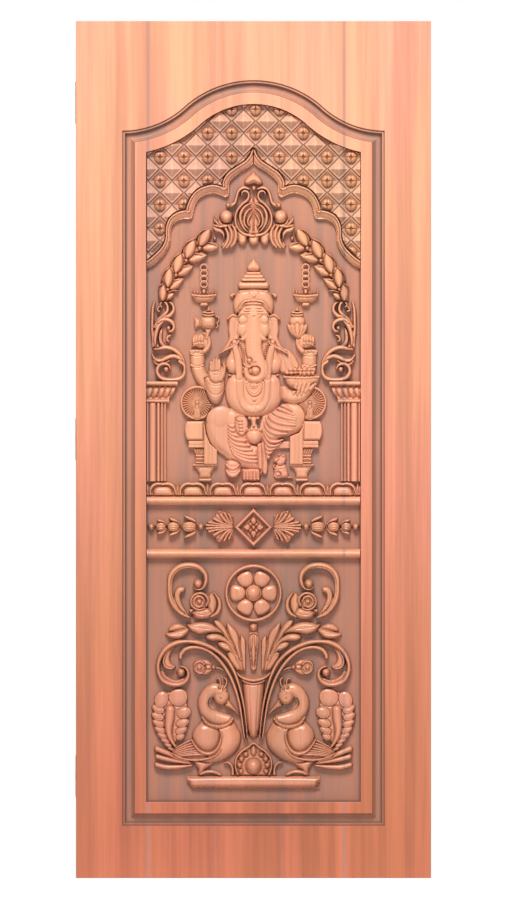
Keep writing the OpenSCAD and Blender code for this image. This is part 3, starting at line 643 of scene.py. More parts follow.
# ---------------------------------------------------------------- materials
class Nodes:
    """A node tree with short ways to add and join nodes."""

    def __init__(self, tree):
        self.tree = tree
        self.tree.nodes.clear()

    def add(self, kind, **settings):
        node = self.tree.nodes.new(kind)
        for key, value in settings.items():
            setattr(node, key, value)
        return node

    def give(self, socket, value):
        """Join a socket to another one, or set it to a number or a colour."""
        if isinstance(value, bpy.types.NodeSocket):
            self.tree.links.new(value, socket)
        elif isinstance(value, tuple) and socket.type == "RGBA":
            socket.default_value = value + (1.0,)
        else:
            socket.default_value = value

    def math(self, op, a, b=0.0):
        node = self.add("ShaderNodeMath", operation=op)
        self.give(node.inputs[0], a)
        self.give(node.inputs[1], b)
        return node.outputs[0]

    def mix(self, factor, a, b):
        node = self.add("ShaderNodeMix", data_type="RGBA")
        for index, value in ((0, factor), (6, a), (7, b)):
            self.give(node.inputs[index], value)
        return node.outputs[2]

    def times(self, colour, by):
        """A colour multiplied by another colour or by a number."""
        node = self.add("ShaderNodeVectorMath", operation="MULTIPLY")
        self.give(node.inputs[0], colour)
        self.give(node.inputs[1], by)
        return node.outputs[0]

    def ramp(self, value, low, high, to_low=0.0, to_high=1.0):
        node = self.add("ShaderNodeMapRange", interpolation_type="SMOOTHSTEP")
        for socket, v in zip(node.inputs, (value, low, high, to_low, to_high)):
            self.give(socket, v)
        return node.outputs[0]

    def attribute(self, name):
        return self.add("ShaderNodeAttribute", attribute_name=name).outputs["Fac"]

    def where(self):
        return self.add("ShaderNodeTexCoord").outputs["Object"]

    def noise(self, scale, upright, detail, rough):
        """Noise whose cells are drawn out along z by 1 / upright."""
        stretch = self.add("ShaderNodeMapping")
        stretch.inputs["Scale"].default_value = (1.0, 1.0, upright)
        self.give(stretch.inputs["Vector"], self.where())
        node = self.add("ShaderNodeTexNoise")
        for label, value in (("Scale", scale), ("Detail", detail), ("Roughness", rough),
                             ("Vector", stretch.outputs[0])):
            self.give(node.inputs[label], value)
        return node.outputs[0]

    def bump(self, height, strength, distance, normal=None):
        node = self.add("ShaderNodeBump")
        for label, value in (("Strength", strength), ("Distance", distance), ("Height", height)):
            self.give(node.inputs[label], value)
        if normal:
            self.give(node.inputs["Normal"], normal)
        return node.outputs[0]

    def effect(self, group, **values):
        """Place a node group with this material's own values."""
        node = self.add("ShaderNodeGroup", node_tree=group)
        for label, value in values.items():
            self.give(node.inputs[label], value)
        return node.outputs


class Effect(Nodes):
    """A shader node group with named inputs and outputs, shared by several materials."""

    def __init__(self, name, inputs, outputs):
        super().__init__(bpy.data.node_groups.new(name, "ShaderNodeTree"))
        for label, start in inputs.items():
            socket = self.tree.interface.new_socket(label, in_out="INPUT", socket_type="NodeSocketFloat")
            socket.default_value = start
        for label, kind in outputs.items():
            self.tree.interface.new_socket(label, in_out="OUTPUT", socket_type="NodeSocket" + kind)
        self.given = self.add("NodeGroupInput").outputs
        self.result = self.add("NodeGroupOutput").inputs

    def put(self, **values):
        for label, value in values.items():
            self.give(self.result[label], value)
        return self.tree


class Finish(Nodes):
    """A material with one Principled shader."""

    def __init__(self, name):
        self.mat = bpy.data.materials.new(name)
        self.mat.use_nodes = True
        super().__init__(self.mat.node_tree)
        self.shader = self.add("ShaderNodeBsdfPrincipled")
        self.tree.links.new(self.shader.outputs[0], self.add("ShaderNodeOutputMaterial").inputs[0])

    def put(self, **values):
        for label, value in values.items():
            self.give(self.shader.inputs[label.replace("_", " ")], value)
        return self.mat


def upright_grain():
    """Broad streaks, fine pores and soft clouds, all drawn out up the door."""
    n = Effect("upright_grain", {"Streak": 22.0, "Pore": 170.0, "Cloud": 5.0},
               {"Streaks": "Float", "Pores": "Float", "Clouds": "Float"})
    return n.put(Streaks=n.noise(n.given["Streak"], 0.7 / 22, 5.0, 0.62),
                 Pores=n.noise(n.given["Pore"], 3.0 / 170, 4.0, 0.6),
                 Clouds=n.noise(n.given["Cloud"], 1.6 / 5, 3.0, 0.5))


def sunk_field():
    """Where the stain lies in the sunk field, also painting the shade deeper in the recess, and where two
    boards meet.
    """
    n = Effect("sunk_field", {"Deep": -0.0025, "Pores": 0.5},
               {"StainAndShade": "Float", "Seam": "Float", "Rise": "Float"})
    split = n.add("ShaderNodeSeparateXYZ")
    n.give(split.inputs[0], n.where())
    x, y, z = split.outputs
    across = n.ramp(n.math("ABSOLUTE", x), 0.325, 0.335, 1.0, 0.0)
    up = n.math("MINIMUM", n.ramp(z, 0.10, 0.12), n.ramp(z, 1.96, 1.99, 1.0, 0.0))
    # darker the deeper in: a stain on the sunk ground, and painted shade on the lower parts of the carvings
    stain = n.math("MULTIPLY", n.ramp(y, -0.0225, n.given["Deep"]), n.ramp(y, -0.001, 0.001, 1.0, 0.0))
    stain = n.math("MULTIPLY", n.math("MULTIPLY", stain, across), up)
    seams = 0.0
    for at, wide, strength in marks("-0.2585 0.007 0.75, 0.222 0.007 0.75, -0.095 0.005 0.25, "
                                    "0.069 0.005 0.25"):
        near = n.ramp(n.math("ABSOLUTE", n.math("SUBTRACT", x, at)), 0.0, wide, strength, 0.0)
        seams = n.math("ADD", near, seams)
    broken = n.ramp(n.given["Pores"], 0.25, 0.7, 0.6, 1.0)
    return n.put(StainAndShade=stain, Seam=n.math("MULTIPLY", seams, broken), Rise=z)


def painted_hollows_and_crests():
    """Painted shade in the recesses and painted highlight on the crests, both read from the tone."""
    n = Effect("painted_hollows_and_crests", {"Unshaded": 0.1, "BrightestTone": 2.4}, {"HollowShade": "Float", "CrestHighlight": "Float"})
    tone = n.attribute("tone")
    # painted shade in the hollows, where the tone is low
    painted_shading = n.ramp(tone, -3.4, n.given["Unshaded"], 1.0, 0.0)
    # the first output paints shade in the hollows, the second paints highlight on the crests
    return n.put(HollowShade=painted_shading, CrestHighlight=n.ramp(tone, 0.3, n.given["BrightestTone"]))


def cut_surface():
    """The small relief of the pores over the relief of the carving."""
    n = Effect("cut_surface", {"Pores": 0.5, "Crisp": 0.8}, {"Normal": "Vector"})
    pores = n.bump(n.given["Pores"], 0.15, 0.0006)
    return n.put(Normal=n.bump(n.attribute("rise"), 1.0, n.given["Crisp"], pores))


def brushed_tarnish():
    """Brush lines across the door and spots of tarnish."""
    n = Effect("brushed_tarnish", {"Brush": 60.0, "Spot": 40.0},
               {"Lines": "Float", "Dull": "Float", "Normal": "Vector"})
    lines = n.noise(n.given["Brush"], 15.0, 3.0, 0.55)
    return n.put(Lines=lines, Dull=n.ramp(n.noise(n.given["Spot"], 1.0, 5.0, 0.55), 0.45, 0.7),
                 Normal=n.bump(lines, 0.1, 0.0003))


GRAIN, FIELD, HOLLOW_AND_CREST_LIGHT, SURFACE = upright_grain(), sunk_field(), painted_hollows_and_crests(), cut_surface()
TARNISH = brushed_tarnish()


def shaded(colour, by):
    return tuple(min(1.0, by * v) for v in colour)


def teak(name, lit_top_colour, shaded_bottom_colour, stain, depth_stain_and_shade, hollow_shade_strength=0.8, rough=0.42, sheen=0.25,
         crispness=0.8, streak=0.84, stain_and_shade_from=-0.0025):
    """Oiled teak with upright grain; painted light makes it paler towards the top, a stain with painted
    shade darkens the recess, painted shade fills the hollows and painted highlight lies on the crests.
    """
    n = Finish(name)
    grain = n.effect(GRAIN)
    streaks, pores, clouds = grain["Streaks"], grain["Pores"], grain["Clouds"]
    field = n.effect(FIELD, Deep=stain_and_shade_from, Pores=pores)
    painted_light = n.effect(HOLLOW_AND_CREST_LIGHT)
    # painted light: paler towards the top of the door and darker towards the bottom, as if lit from above
    colour = n.mix(n.ramp(field["Rise"], 0.0, 2.0), shaded_bottom_colour, lit_top_colour)
    shade = n.math("MULTIPLY", n.ramp(pores, 0.25, 0.75, 0.93, 1.05),
                   n.ramp(streaks, 0.3, 0.7, 1.06, streak))
    colour = n.times(colour, shade)
    # bands of rosy and of honey-coloured wood
    colour = n.times(colour, n.mix(n.ramp(clouds, 0.35, 0.65), (1.02, 0.97, 1.03), (0.99, 1.02, 0.93)))
    colour = n.mix(field["Seam"], colour, (0.33, 0.20, 0.19))
    # stain with painted depth shade, darker below about one metre and lighter above, varied with the streaks
    stain_and_shade_colour = n.mix(n.ramp(field["Rise"], 0.92, 1.1), shaded(stain, 0.88), shaded(stain, 1.1))
    stain_and_shade_colour = n.times(stain_and_shade_colour, n.mix(n.ramp(streaks, 0.38, 0.64), (1.2, 1.03, 0.93), (0.84, 0.93, 1.0)))
    colour = n.mix(n.math("MULTIPLY", field["StainAndShade"], depth_stain_and_shade), colour, stain_and_shade_colour)
    # painted shade in the hollows, in a darkened stain colour
    colour = n.mix(n.math("MULTIPLY", painted_light["HollowShade"], hollow_shade_strength), colour, shaded(stain, 0.4))
    # painted highlight on the crests, in a lightened top colour
    colour = n.mix(n.math("MULTIPLY", painted_light["CrestHighlight"], 0.3), colour, shaded(lit_top_colour, 1.2))
    return n.put(Base_Color=colour, Roughness=n.ramp(pores, 0.2, 0.8, rough - 0.08, rough + 0.12),
                 Specular_IOR_Level=sheen, Normal=n.effect(SURFACE, Pores=pores, Crisp=crispness)["Normal"])


def metal(name, colour, rough):
    """Brushed metal with a slight tarnish."""
    n = Finish(name)
    tarnish = n.effect(TARNISH)
    return n.put(Base_Color=n.mix(tarnish["Dull"], colour, shaded(colour, 0.55)), Metallic=1.0,
                 Roughness=n.ramp(tarnish["Lines"], 0.3, 0.7, rough - 0.08, rough + 0.12),
                 Normal=tarnish["Normal"])


BOARD = teak("oiled_teak_boards", (0.88, 0.38, 0.24), (0.51, 0.158, 0.084), stain=(0.40, 0.21, 0.155),
             depth_stain_and_shade=0.8, streak=0.72, stain_and_shade_from=-0.0115)
CARVED = teak("carved_teak_frame", (0.84, 0.39, 0.232), (0.60, 0.24, 0.138), stain=(0.22, 0.10, 0.058),
              depth_stain_and_shade=0.26, hollow_shade_strength=0.62, rough=0.3, sheen=0.6)
FIGURE = teak("carved_teak_figure", (0.80, 0.375, 0.235), (0.66, 0.27, 0.158), stain=(0.34, 0.17, 0.11),
              depth_stain_and_shade=0.2, hollow_shade_strength=0.4, rough=0.38, sheen=0.4, crispness=0.4)
LATTICE = teak("carved_teak_lattice", (0.84, 0.45, 0.31), (0.7, 0.36, 0.25), stain=(0.26, 0.15, 0.11),
               depth_stain_and_shade=0.6, hollow_shade_strength=0.72, rough=0.36, sheen=0.4, crispness=1.1)
BUTTON = teak("carved_teak_buttons", (0.60, 0.25, 0.125), (0.44, 0.19, 0.09), stain=(0.10, 0.04, 0.02),
              depth_stain_and_shade=0.25, hollow_shade_strength=0.8, rough=0.3, sheen=0.7)
TONGUE = teak("bare_teak_tongues", (0.55, 0.33, 0.20), (0.50, 0.29, 0.17), stain=(0.3, 0.18, 0.1),
              depth_stain_and_shade=0.1, hollow_shade_strength=0.5, rough=0.6, sheen=0.15)
BRASS = metal("aged_hinge_brass", (0.62, 0.44, 0.17), rough=0.36)
STEEL = metal("hinge_pin_steel", (0.55, 0.54, 0.52), rough=0.32)
SCREW = metal("screw_brass", (0.68, 0.50, 0.22), rough=0.3)

make_planks(make_slab(), BOARD)


# ---------------------------------------------------------------- shrine: lattice and arch
ARCH_OUTER = marks("0 1788, 5 1782, 8 1774, 13 1766, 20 1758, 30 1751, 40 1745, 50 1738, 60 1731, 68 1722, "
                   "74 1712, 77 1702, 75.5 1693.5, 80 1694.5, 90 1698, 100 1699, 110 1698, 120 1695, "
                   "130 1691, 140 1685, 148 1677, 155 1667, 160 1657, 164 1646, 166 1636.5, 170 1636, "
                   "180 1634, 190 1630, 200 1624, 207 1616, 212 1606, 215 1596, 216 1580, 216 1570, "
                   "219 1558, 224 1548, 230 1540, 240 1530, 250 1521, 262.6 1512")
ARCH_INNER = marks("262.6 1493, 250 1498, 240 1505, 230 1514, 220 1524, 211 1538, 206 1548, 203 1560, "
                   "203 1575, 201 1590, 197 1600, 190 1607, 180 1612, 170 1614, 160 1614, 153 1615, "
                   "150 1617, 147 1625, 146 1635, 143 1646, 138 1657, 130 1666, 120 1672, 110 1676, "
                   "100 1677, 90 1676, 80 1672, 70 1667, 65 1668, 60 1673, 59 1680, 59 1698, 56 1706, "
                   "50 1714, 40 1722, 30 1730, 20 1736, 10 1742, 0 1751")
PITCH = 58.5
CELL_X, CELL_Z = 5.0, 1825.0


def lattice_outline(inset):
    """The lattice ground: the top of the field, down to the arch on both sides."""
    top = field_half(FIELD_INSET + inset)[1:]
    arch = [(x, z + 2 * inset) for x, z in beside(ARCH_OUTER, inset)]
    arch = [q for q in arch if q[0] > 0.2 and q[0] < 262.5 - inset]
    half = arch + [(263 - inset, 1512 + 2 * inset)]
    left = flip(half[::-1]) + [(0, 1788 + 3 * inset)]
    return half + [tuple(q) for q in top] + flip(top[:-1][::-1].tolist()) + left


def lattice_ground():
    r = Relief("lattice_panel", 1.5)
    win, sd = r.polygon_sd(lattice_outline(0.6), 12)
    X, Z = r.X[win], r.Z[win]
    half = PITCH / 2

    def cell(cx, cz):
        u = (X - cx + half) % PITCH - half
        v = (Z - cz + half) % PITCH - half
        return np.abs(u) + np.abs(v)

    stone = cell(CELL_X + half, CELL_Z + half)
    pyramid = 10.6 + 6.4 * np.clip(1 - stone / 19, 0, 1) + 0.5 * (stone < 19)
    flat = 10.6 - 0.6 * np.clip((stone - 19) / 6, 0, 1)
    rim = np.clip((27.2 - stone) / 1.2, 0, 1)
    raised = np.where(stone < 19, pyramid, flat)
    hole = cell(CELL_X, CELL_Z)
    bowl = 4.6 + 3.2 * np.clip((hole - 14) / 13, 0, 1) ** 1.5
    line = 2.2 * np.exp(-((stone - half) / 1.2) ** 2)
    h = np.where(stone < half, bowl * (1 - rim) + raised * rim, bowl) - line
    r.put(win, sd, h, groove=0)
    return r.carve(wall=0.6, edge=1.0)


def button_mesh():
    """One four-lobed button with a sunk middle, standing on y = 0 and facing the front."""
    rings, spokes, radius = 10, 40, 15.3
    verts, faces, painted_shading = [], [], []
    for i in range(rings + 1):
        q = i / rings
        for k in range(spokes):
            a = 2 * math.pi * k / spokes
            cross = min(abs(math.sin(a)), abs(math.cos(a)))
            slot = math.exp(-(cross * q * radius / 1.25) ** 2) * min(1, q * 3)
            r = radius * q * (1 - 0.05 * math.exp(-(cross / 0.12) ** 2))
            eye = (abs(math.sin(a)) + abs(math.cos(a))) * r
            pit = 4.0 * math.exp(-(eye / 5.0) ** 4)
            h = 11.0 * math.sqrt(max(0, 1 - q**2.6)) - 2.6 * slot * (1 - q**4) - pit
            verts.append((r * math.cos(a) * MM, -h * MM, r * math.sin(a) * MM))
            # tone: painted shade in the slots, the middle pit and at the rim, a little painted highlight
            # elsewhere on the top
            painted_shading.append(-2.8 * slot - 3.2 * math.exp(-(eye / 5.5) ** 4) + (-2 if i == rings else 0.6))
    for i in range(rings):
        for k in range(spokes):
            j = (k + 1) % spokes
            a, b, c, d = i * spokes + k, i * spokes + j, (i + 1) * spokes + j, (i + 1) * spokes + k
            faces.append([a, b, c, d] if i else [0, c, d])
    last = rings * spokes
    base = len(verts)
    for k in range(spokes):
        x, _, z = verts[last + k]
        verts.append((x, 1.2 * MM, z))
        # painted shade at the foot
        painted_shading.append(-3)
        j = (k + 1) % spokes
        faces.append([last + j, base + j, base + k, last + k][::-1])
    faces.append([base + k for k in range(spokes)])
    bm = bmesh.new()
    layer = bm.verts.layers.float.new("tone")
    made = [bm.verts.new(v) for v in verts]
    for v, t in zip(made, painted_shading):
        v[layer] = t
    for f in faces:
        bm.faces.new([made[v] for v in f])
    bmesh.ops.delete(bm, geom=[v for v in bm.verts if not v.link_faces], context="VERTS")
    for f in bm.faces:
        f.smooth = True
    return from_bmesh("button", bm)


def scatter(name, unit, spots, material, turns=None):
    """Geometry Nodes: one unit object set at every spot, given as x, y, z in millimetres."""
    points = plain_mesh(name, np.array(spots, dtype=float) * MM, [])
    turn = points.data.attributes.new("turn", "FLOAT", "POINT")
    turn.data.foreach_set("value", np.array(turns if turns is not None else [0.0] * len(spots),
                                            dtype=np.float32))
    tree = bpy.data.node_groups.new("set_out_" + name, "GeometryNodeTree")
    tree.interface.new_socket("Geometry", in_out="INPUT", socket_type="NodeSocketGeometry")
    unit_in = tree.interface.new_socket("Unit", in_out="INPUT", socket_type="NodeSocketObject")
    tree.interface.new_socket("Geometry", in_out="OUTPUT", socket_type="NodeSocketGeometry")
    enter, leave = tree.nodes.new("NodeGroupInput"), tree.nodes.new("NodeGroupOutput")
    info = tree.nodes.new("GeometryNodeObjectInfo")
    spin = tree.nodes.new("GeometryNodeInputNamedAttribute")
    spin.data_type = "FLOAT"
    spin.inputs[0].default_value = "turn"
    angles = tree.nodes.new("ShaderNodeCombineXYZ")
    stand = tree.nodes.new("GeometryNodeInstanceOnPoints")
    real = tree.nodes.new("GeometryNodeRealizeInstances")
    paint_it = tree.nodes.new("GeometryNodeSetMaterial")
    paint_it.inputs["Material"].default_value = material
    link = tree.links.new
    link(enter.outputs["Unit"], info.inputs["Object"])
    link(enter.outputs["Geometry"], stand.inputs["Points"])
    link(info.outputs["Geometry"], stand.inputs["Instance"])
    link(spin.outputs[0], angles.inputs["Y"])
    link(angles.outputs[0], stand.inputs["Rotation"])
    link(stand.outputs[0], real.inputs[0])
    link(real.outputs[0], paint_it.inputs["Geometry"])
    link(paint_it.outputs[0], leave.inputs[0])
    mod = points.modifiers.new("set_out", "NODES")
    mod.node_group = tree
    mod[unit_in.identifier] = unit
    settle(points, unit)
    bpy.data.node_groups.remove(tree)
    return points


def prism(name, outline, y0, y1):
    """A closed block on a flat outline between two depths."""
    n = len(outline)
    x, z = np.array(outline, dtype=float).T
    tris = flat_fill(x, z, [(i, (i + 1) % n) for i in range(n)])
    verts = [(a, y0, b) for a, b in outline] + [(a, y1, b) for a, b in outline]
    faces = [[v for v in reversed(t)] for t in tris] + [[n + v for v in t] for t in tris]
    faces += [[i, (i + 1) % n, n + (i + 1) % n, n + i] for i in range(n)]
    return turn_outwards(plain_mesh(name, np.array(verts) * MM, faces))


def lattice_buttons():
    outline = lattice_outline(2.5)
    whole, part = [], []
    for i in range(-6, 6):
        for j in range(-2, 7):
            x, z = CELL_X + i * PITCH, CELL_Z - j * PITCH
            d = signed_distance(x, z, outline)
            if d < -15.6:
                whole.append((x, GROUND_Y - 5.0, z))
            elif d < 9:
                part.append((x, GROUND_Y - 5.0, z))
    full = scatter("whole_buttons", button_mesh(), whole, BUTTON)
    cut = scatter("edge_buttons", button_mesh(), part, BUTTON)
    cut_out(cut, prism("button_limit", outline, GROUND_Y - 25, GROUND_Y), keep=True)
    return join("carved_lattice_buttons", full, cut)


def cusped_arch():
    r = Relief("cusped_arch_right", 1.3)
    win, sd = r.polygon_sd(ARCH_OUTER + ARCH_INNER)
    far = path_distance(r.X[win], r.Z[win], ARCH_OUTER)
    r.put(win, sd, 15.0 - 7.5 * np.clip((far - 4) / 17, 0, 1) ** 1.1, groove=0)
    r.stroke(wide(beside(ARCH_OUTER, -2.9), 2.9).tolist(), 13, 19, groove=1.0, per=3, outline=False)
    r.stroke(wide(beside(ARCH_INNER, -1.6), 1.6).tolist(), 5, 9.5, groove=0, per=3, outline=False)
    r.stroke("78 1689 2.6, 71 1688 2.8, 66 1691 2.6, 65 1696 2", 12, 18, outline=False)
    r.stroke("163 1632 2.6, 158 1633 2.6, 155 1637 2", 12, 18, outline=False)
    return r.carve(wall=0.55, edge=1.6)


def crest():
    r = Relief("arch_crest", 1.1, groove_scale=1.0)
    # three scallops under the shield
    r.patch("-13 1584, -13 1562, -9 1553.5, 0 1551, 10 1553.5, 14 1562, 14 1584", 8, 16, over=10)
    for _ in r.both_sides():
        r.patch("15 1586, 15.5 1562, 20 1553.5, 28 1551, 36 1554, 40 1564, 41 1586", 8, 15.5, over=10)
        # folds bundled beside the shield
        r.patch("44 1604, 40 1586, 42 1564, 54 1545, 72 1541, 80 1549, 72 1562, 68 1580, 76 1600", 6, 9,
                over=5)
        for pts in ("52 1600 3, 45 1588 5.4, 43.5 1572 6, 47 1557 5.4, 56 1546 3",
                    "62 1599 3, 54.5 1584 5, 53.5 1569 5.4, 59 1554 4.8, 67 1544 2.8",
                    "71 1597 3, 63.5 1580 4.8, 62.5 1566 5, 68 1552 4.4, 76 1543 2.4"):
            r.stroke(pts, 9, 17, groove=1.6)
        # horn leaf that starts the garland, with two small horns
        r.stroke("72 1566 2, 74 1578 4.4, 82 1586 6, 93 1590 6.4, 101 1600 3, 103 1607 1.4", 8, 16.5)
        r.stroke("66 1598 4, 78 1598 6, 90 1598 4.6, 99 1600 2", 8, 17)
        r.line("74 1592 1, 85 1593 1.3, 97 1598 1", 1.8)
        r.stroke("84 1601 3.4, 90 1606 4.4, 96 1614 3.4, 97 1621.5 1.6", 8, 15)
        r.stroke("78 1602 3.4, 83 1608 3.8, 86 1617 1.6", 8, 14.5)
        r.ball(66.5, 1620, 17.5, 6, 19)
        # outer arm: over the volute, down the side and out to its round foot
        r.stroke("10 1688 3, 22 1691.5 4.6, 33 1687 5, 39 1677 5, 42 1666 5, 45.5 1655 5, 53 1649 5.4, "
                 "61 1648 6", 8, 17)
        r.ball(62, 1648.5, 6.4, 8, 17)
        r.line("24 1687 1, 34 1680 1.3, 37 1666 1.2, 42 1652 1", 1.6)
        # half of the shield
        r.patch("0 1572, 0 1660, 12 1662, 24 1654, 34 1645, 42 1632, 46 1618, 45 1602, 38 1588, 28 1579, "
                "14 1573", 4, 7, over=6)
    for _ in r.both_sides():
        for leaf in ("5 1652 1, 14 1650 2.6, 25 1641 4, 32 1625 4.8, 31 1608 4.4, 23 1592 3, 14 1583 1.2",
                     "4 1641 1, 12 1637 2.8, 20 1626 3.8, 23 1611 3.8, 20 1599 3, 12 1590 1.2",
                     "3 1628 1, 9 1622 2.8, 14 1611 3.2, 13 1602 2.4, 8 1597 1"):
            r.stroke(leaf, 8, 15.5, groove=1.2, outline=False)
        # rim of the shield, which runs up into the volute
        r.stroke("29 1673 2.6, 27.5 1680 3.4, 21 1683.5 3.8, 14 1680 4, 11.5 1671 4.2, 16 1661 4.2, "
                 "28 1651 4.2, 38.5 1638 4.2, 44 1622 4.2, 43.5 1604 4.2, 36 1589 4, 23 1578 3.8, "
                 "0 1573 3.6", 9, 18.5, per=10)
    r.ball(1, 1690, 6.4, 9, 19)
    return r.carve()


def finial():
    r = Relief("crest_finial", 1.0)
    heart = mirrored("0 1733, 8 1724, 16 1717, 22 1709, 23 1703, 19 1698.5, 10 1697.6, 0 1701")
    r.patch(heart, 6, 16, over=17)
    return r.carve()


def leaf_axes(ax, az, bx, bz):
    """Base and tip of a leaf, with the directions along it and across it."""
    a, b = np.array([ax, az]), np.array([bx, bz])
    d = (b - a) / np.hypot(*(b - a))
    return a, b, d, np.array([-d[1], d[0]])


def garland():
    r = Relief("garland_right", 1.2)
    r.stroke(wide(ring_path(0, 1360, 226, 16, 57, 20), 5).tolist(), 5, 12)
    for *ends, w in marks("125 1543 80 1547 12, 158 1513 112 1527 12, 185 1478 147 1500 12, "
                          "205 1443 170 1470 11, 214 1420 194 1432 9"):
        a, b, d, across = leaf_axes(*ends)
        r.leaf(a - 2 * d, a + 0.93 * (b - a) - 3 * across, w * 1.12, 5, 12, belly=0.42)
        r.leaf(a, b, w * 0.82, 8, 17, belly=0.4)
        sepal = [a + along * d - out * w * across
                 for along, out in marks("3 0.98, 14 1.12, 27 0.75, 36 0.1")]
        r.stroke(wide(sepal, 1.9, (1.2, 0.8)).tolist(), 10, 17, groove=1.2)
    for *ends, w in marks("133 1550 106 1593 14, 166 1520 145 1567 14.5, 193 1483 178 1533 14.5, "
                          "213 1447 206 1498 13.5, 225 1412 222 1457 12"):
        a, b, d, across = leaf_axes(*ends)
        r.leaf(a - 3 * d, b + 1.5 * d, w * 1.15, 5, 12.5)
        r.leaf(a - d + 1.5 * across, b - 3 * d + 1.2 * across, w * 0.86, 9, 18)
        rim = [a + along * d - out * w * across for along, out in marks("10 1.08, 24 1.16, 38 0.8")]
        r.stroke(wide(rim + [b - d, b + 2 * d], 1.9, (1.0, 1.0)).tolist(), 10, 18, groove=1.0)
    for x, z, rad in marks("132 1543 5.8, 165 1513 5.4, 190 1477 5, 210 1442 4.4"):
        r.ball(x, z, rad, 9, 18)
    r.ball(95, 1567, 5.2, 5, 14)
    return r.carve()


def bracket():
    r = Relief("scroll_bracket_right", 1.2)
    r.stroke("243 1412 3.8, 247 1392 5.1, 248 1365 5.1, 248 1340 5.1, 245 1318 5.1, 246 1302 3.8", 7, 15)
    r.stroke("219 1413 3.2, 212 1404 4.6, 211 1390 5.4, 221 1378 5.6, 233 1366 5.6, 241 1350 4.6", 9, 17)
    r.stroke("225 1411 2.8, 229 1404 3.6, 225 1399 3.1", 8, 15)
    r.stroke("231 1400 2.8, 236 1392 3.6, 230 1388 3.1", 8, 15)
    r.stroke("206 1412 3.1, 198 1404 4.6, 196 1391 5.4, 205 1379 5.9, 220 1369 6.1, 231 1356 6.4, "
             "238 1338 6.1, 241 1318 5.1, 240 1302 3.3", 10, 18.5)
    r.stroke("234 1361 3.8, 224 1368 5.1, 210 1368 5.6, 199 1361 5.6, 195 1350 5.1, 200 1341 4.4, "
             "207 1340 3.3", 10, 18)
    r.ball(208, 1347.5, 6.2, 8, 17)
    r.stroke("203 1330 3.1, 210 1326 4.1, 212 1319 3.8, 207 1315 2.8", 8, 15)
    r.patch("222 1352, 231 1340, 234 1322, 231 1308, 222 1300, 214 1305, 222 1318, 222 1336", 6, 13,
            over=6)
    for line in ("225 1345 1.4, 229 1328 1.8, 226 1308 1.2", "219 1340 1.2, 222 1324 1.6, 217 1308 1.2"):
        r.line(line, 1.6)
    # wing leaves over the big volute
    r.stroke("243 1296 3.1, 228 1298 5.1, 212 1300 5.9, 194 1294 6.1, 180 1281 5.9, 171 1264 5.1, "
             "169 1254 3.1", 8, 16)
    r.stroke("248 1282 3.1, 240 1270 5.1, 226 1268 5.9, 211 1275 6.1, 196 1279 5.9, 182 1273 5.1, "
             "174 1261 3.1", 9, 17.5)
    r.stroke("245 1268 2.6, 238 1260 3.8, 226 1258 4.4, 216 1262 3.8, 206 1268 2.6", 8, 15)
    # ring of the volute
    ring = marks("182 1266 4.4, 170 1256 5.4, 168.5 1241 5.9, 176 1227 6.1, 193 1221 6.1, 212 1221 6.1, "
                 "228 1227 6.1, 236 1240 6.1, 233 1253 5.6, 222 1260 5.1, 210 1257.5 4.6, 204 1249 3.8")
    r.stroke(ring, 9, 18.5, per=10)
    r.ball(214, 1246.5, 8.2, 7, 17)
    r.ball(235, 1303, 5.2, 7, 16)
    return r.carve()


def chain(side):
    """Links of the lamp's chain: rings facing the front joined by links seen edge on."""
    node = "lamp_chain_right" if side > 0 else "lamp_chain_left"
    low, high = mm_box(node)
    x = (low[0] + high[0]) / 2
    unit = link_ring("chain_ring", 8.2, 1.75)
    tops = [1496, 1482, 1468.5, 1455]
    spots = [(x, GROUND_Y - 7.2 - (1.0 if k % 2 else 0), z) for k, z in enumerate(tops)]
    obj = scatter(node + "_links", unit, spots, FIGURE, [0.0] * 4)
    rod = Relief(node, 0.9)
    for z in (1502, 1489, 1475, 1461.5):
        rod.dome(x, z, 2.4, 3.6, 3, 11)
    rod.stroke([(x, 1450, 2.2), (x, 1443, 2.2)], 3, 10)
    rod.ball(x, 1447, 3.4, 4, 12)
    return join("carved_" + node, obj, rod.carve(name=node + "_rod"))


def link_ring(name, r, thick):
    bm = bmesh.new()
    layer = bm.verts.layers.float.new("tone")
    n, m = 28, 10
    grid = []
    for i in range(n):
        a = 2 * math.pi * i / n
        row = []
        for j in range(m):
            b = 2 * math.pi * j / m
            q = r + thick * math.cos(b)
            v = bm.verts.new((q * math.cos(a) * MM, thick * 1.6 * math.sin(b) * MM, q * math.sin(a) * MM))
            # painted shade on the half of the ring towards the ground, a little painted highlight on the
            # front
            v[layer] = -1.5 + 2.2 * max(0, -math.sin(b))
            row.append(v)
        grid.append(row)
    for here, after in zip(grid, grid[1:] + grid[:1]):
        for j in range(m):
            k = (j + 1) % m
            bm.faces.new((here[j], after[j], after[k], here[k])).smooth = True
    return from_bmesh(name, bm)


def lamp(side):
    node = "hanging_lamp_right" if side > 0 else "hanging_lamp_left"
    low, high = mm_box(node)
    r = Relief(node, 0.9)
    r.origin = ((low[0] + high[0]) / 2, 0)
    r.leaf((0, 1428), (0, 1443.5), 5.5, 5, 14)
    for out, top, lean in marks("8 1437 1, 15 1438 1.5, 22 1440 2.5, 29 1443 2"):
        for s in (1, -1):
            r.stroke([(s * (out - 1), 1427, 2.4), (s * out, 1432, 2.6), (s * (out + lean * 0.4), top, 1.4)],
                     8, 15, groove=0.8)
    r.patch(mirrored("-31 1431, -29 1422, -21 1413, -8 1409"), 4, 16, over=14)
    r.stroke("-31 1429 2.4, 0 1426 2.6, 31 1429 2.4", 12, 18, outline=False, groove=0.8)
    for k in range(-5, 6):
        r.line([(5 * k, 1423, 0.8), (3.5 * k, 1417, 0.8), (1.8 * k, 1411.5, 0.7)], 0.9)
    r.patch("-8 1411, 8 1411, 11 1404, 7 1400.5, -7 1400.5, -11 1404", 4, 13, over=6)
    r.line("-10 1407 1, 10 1407 1", 1.6)
    return r.carve()


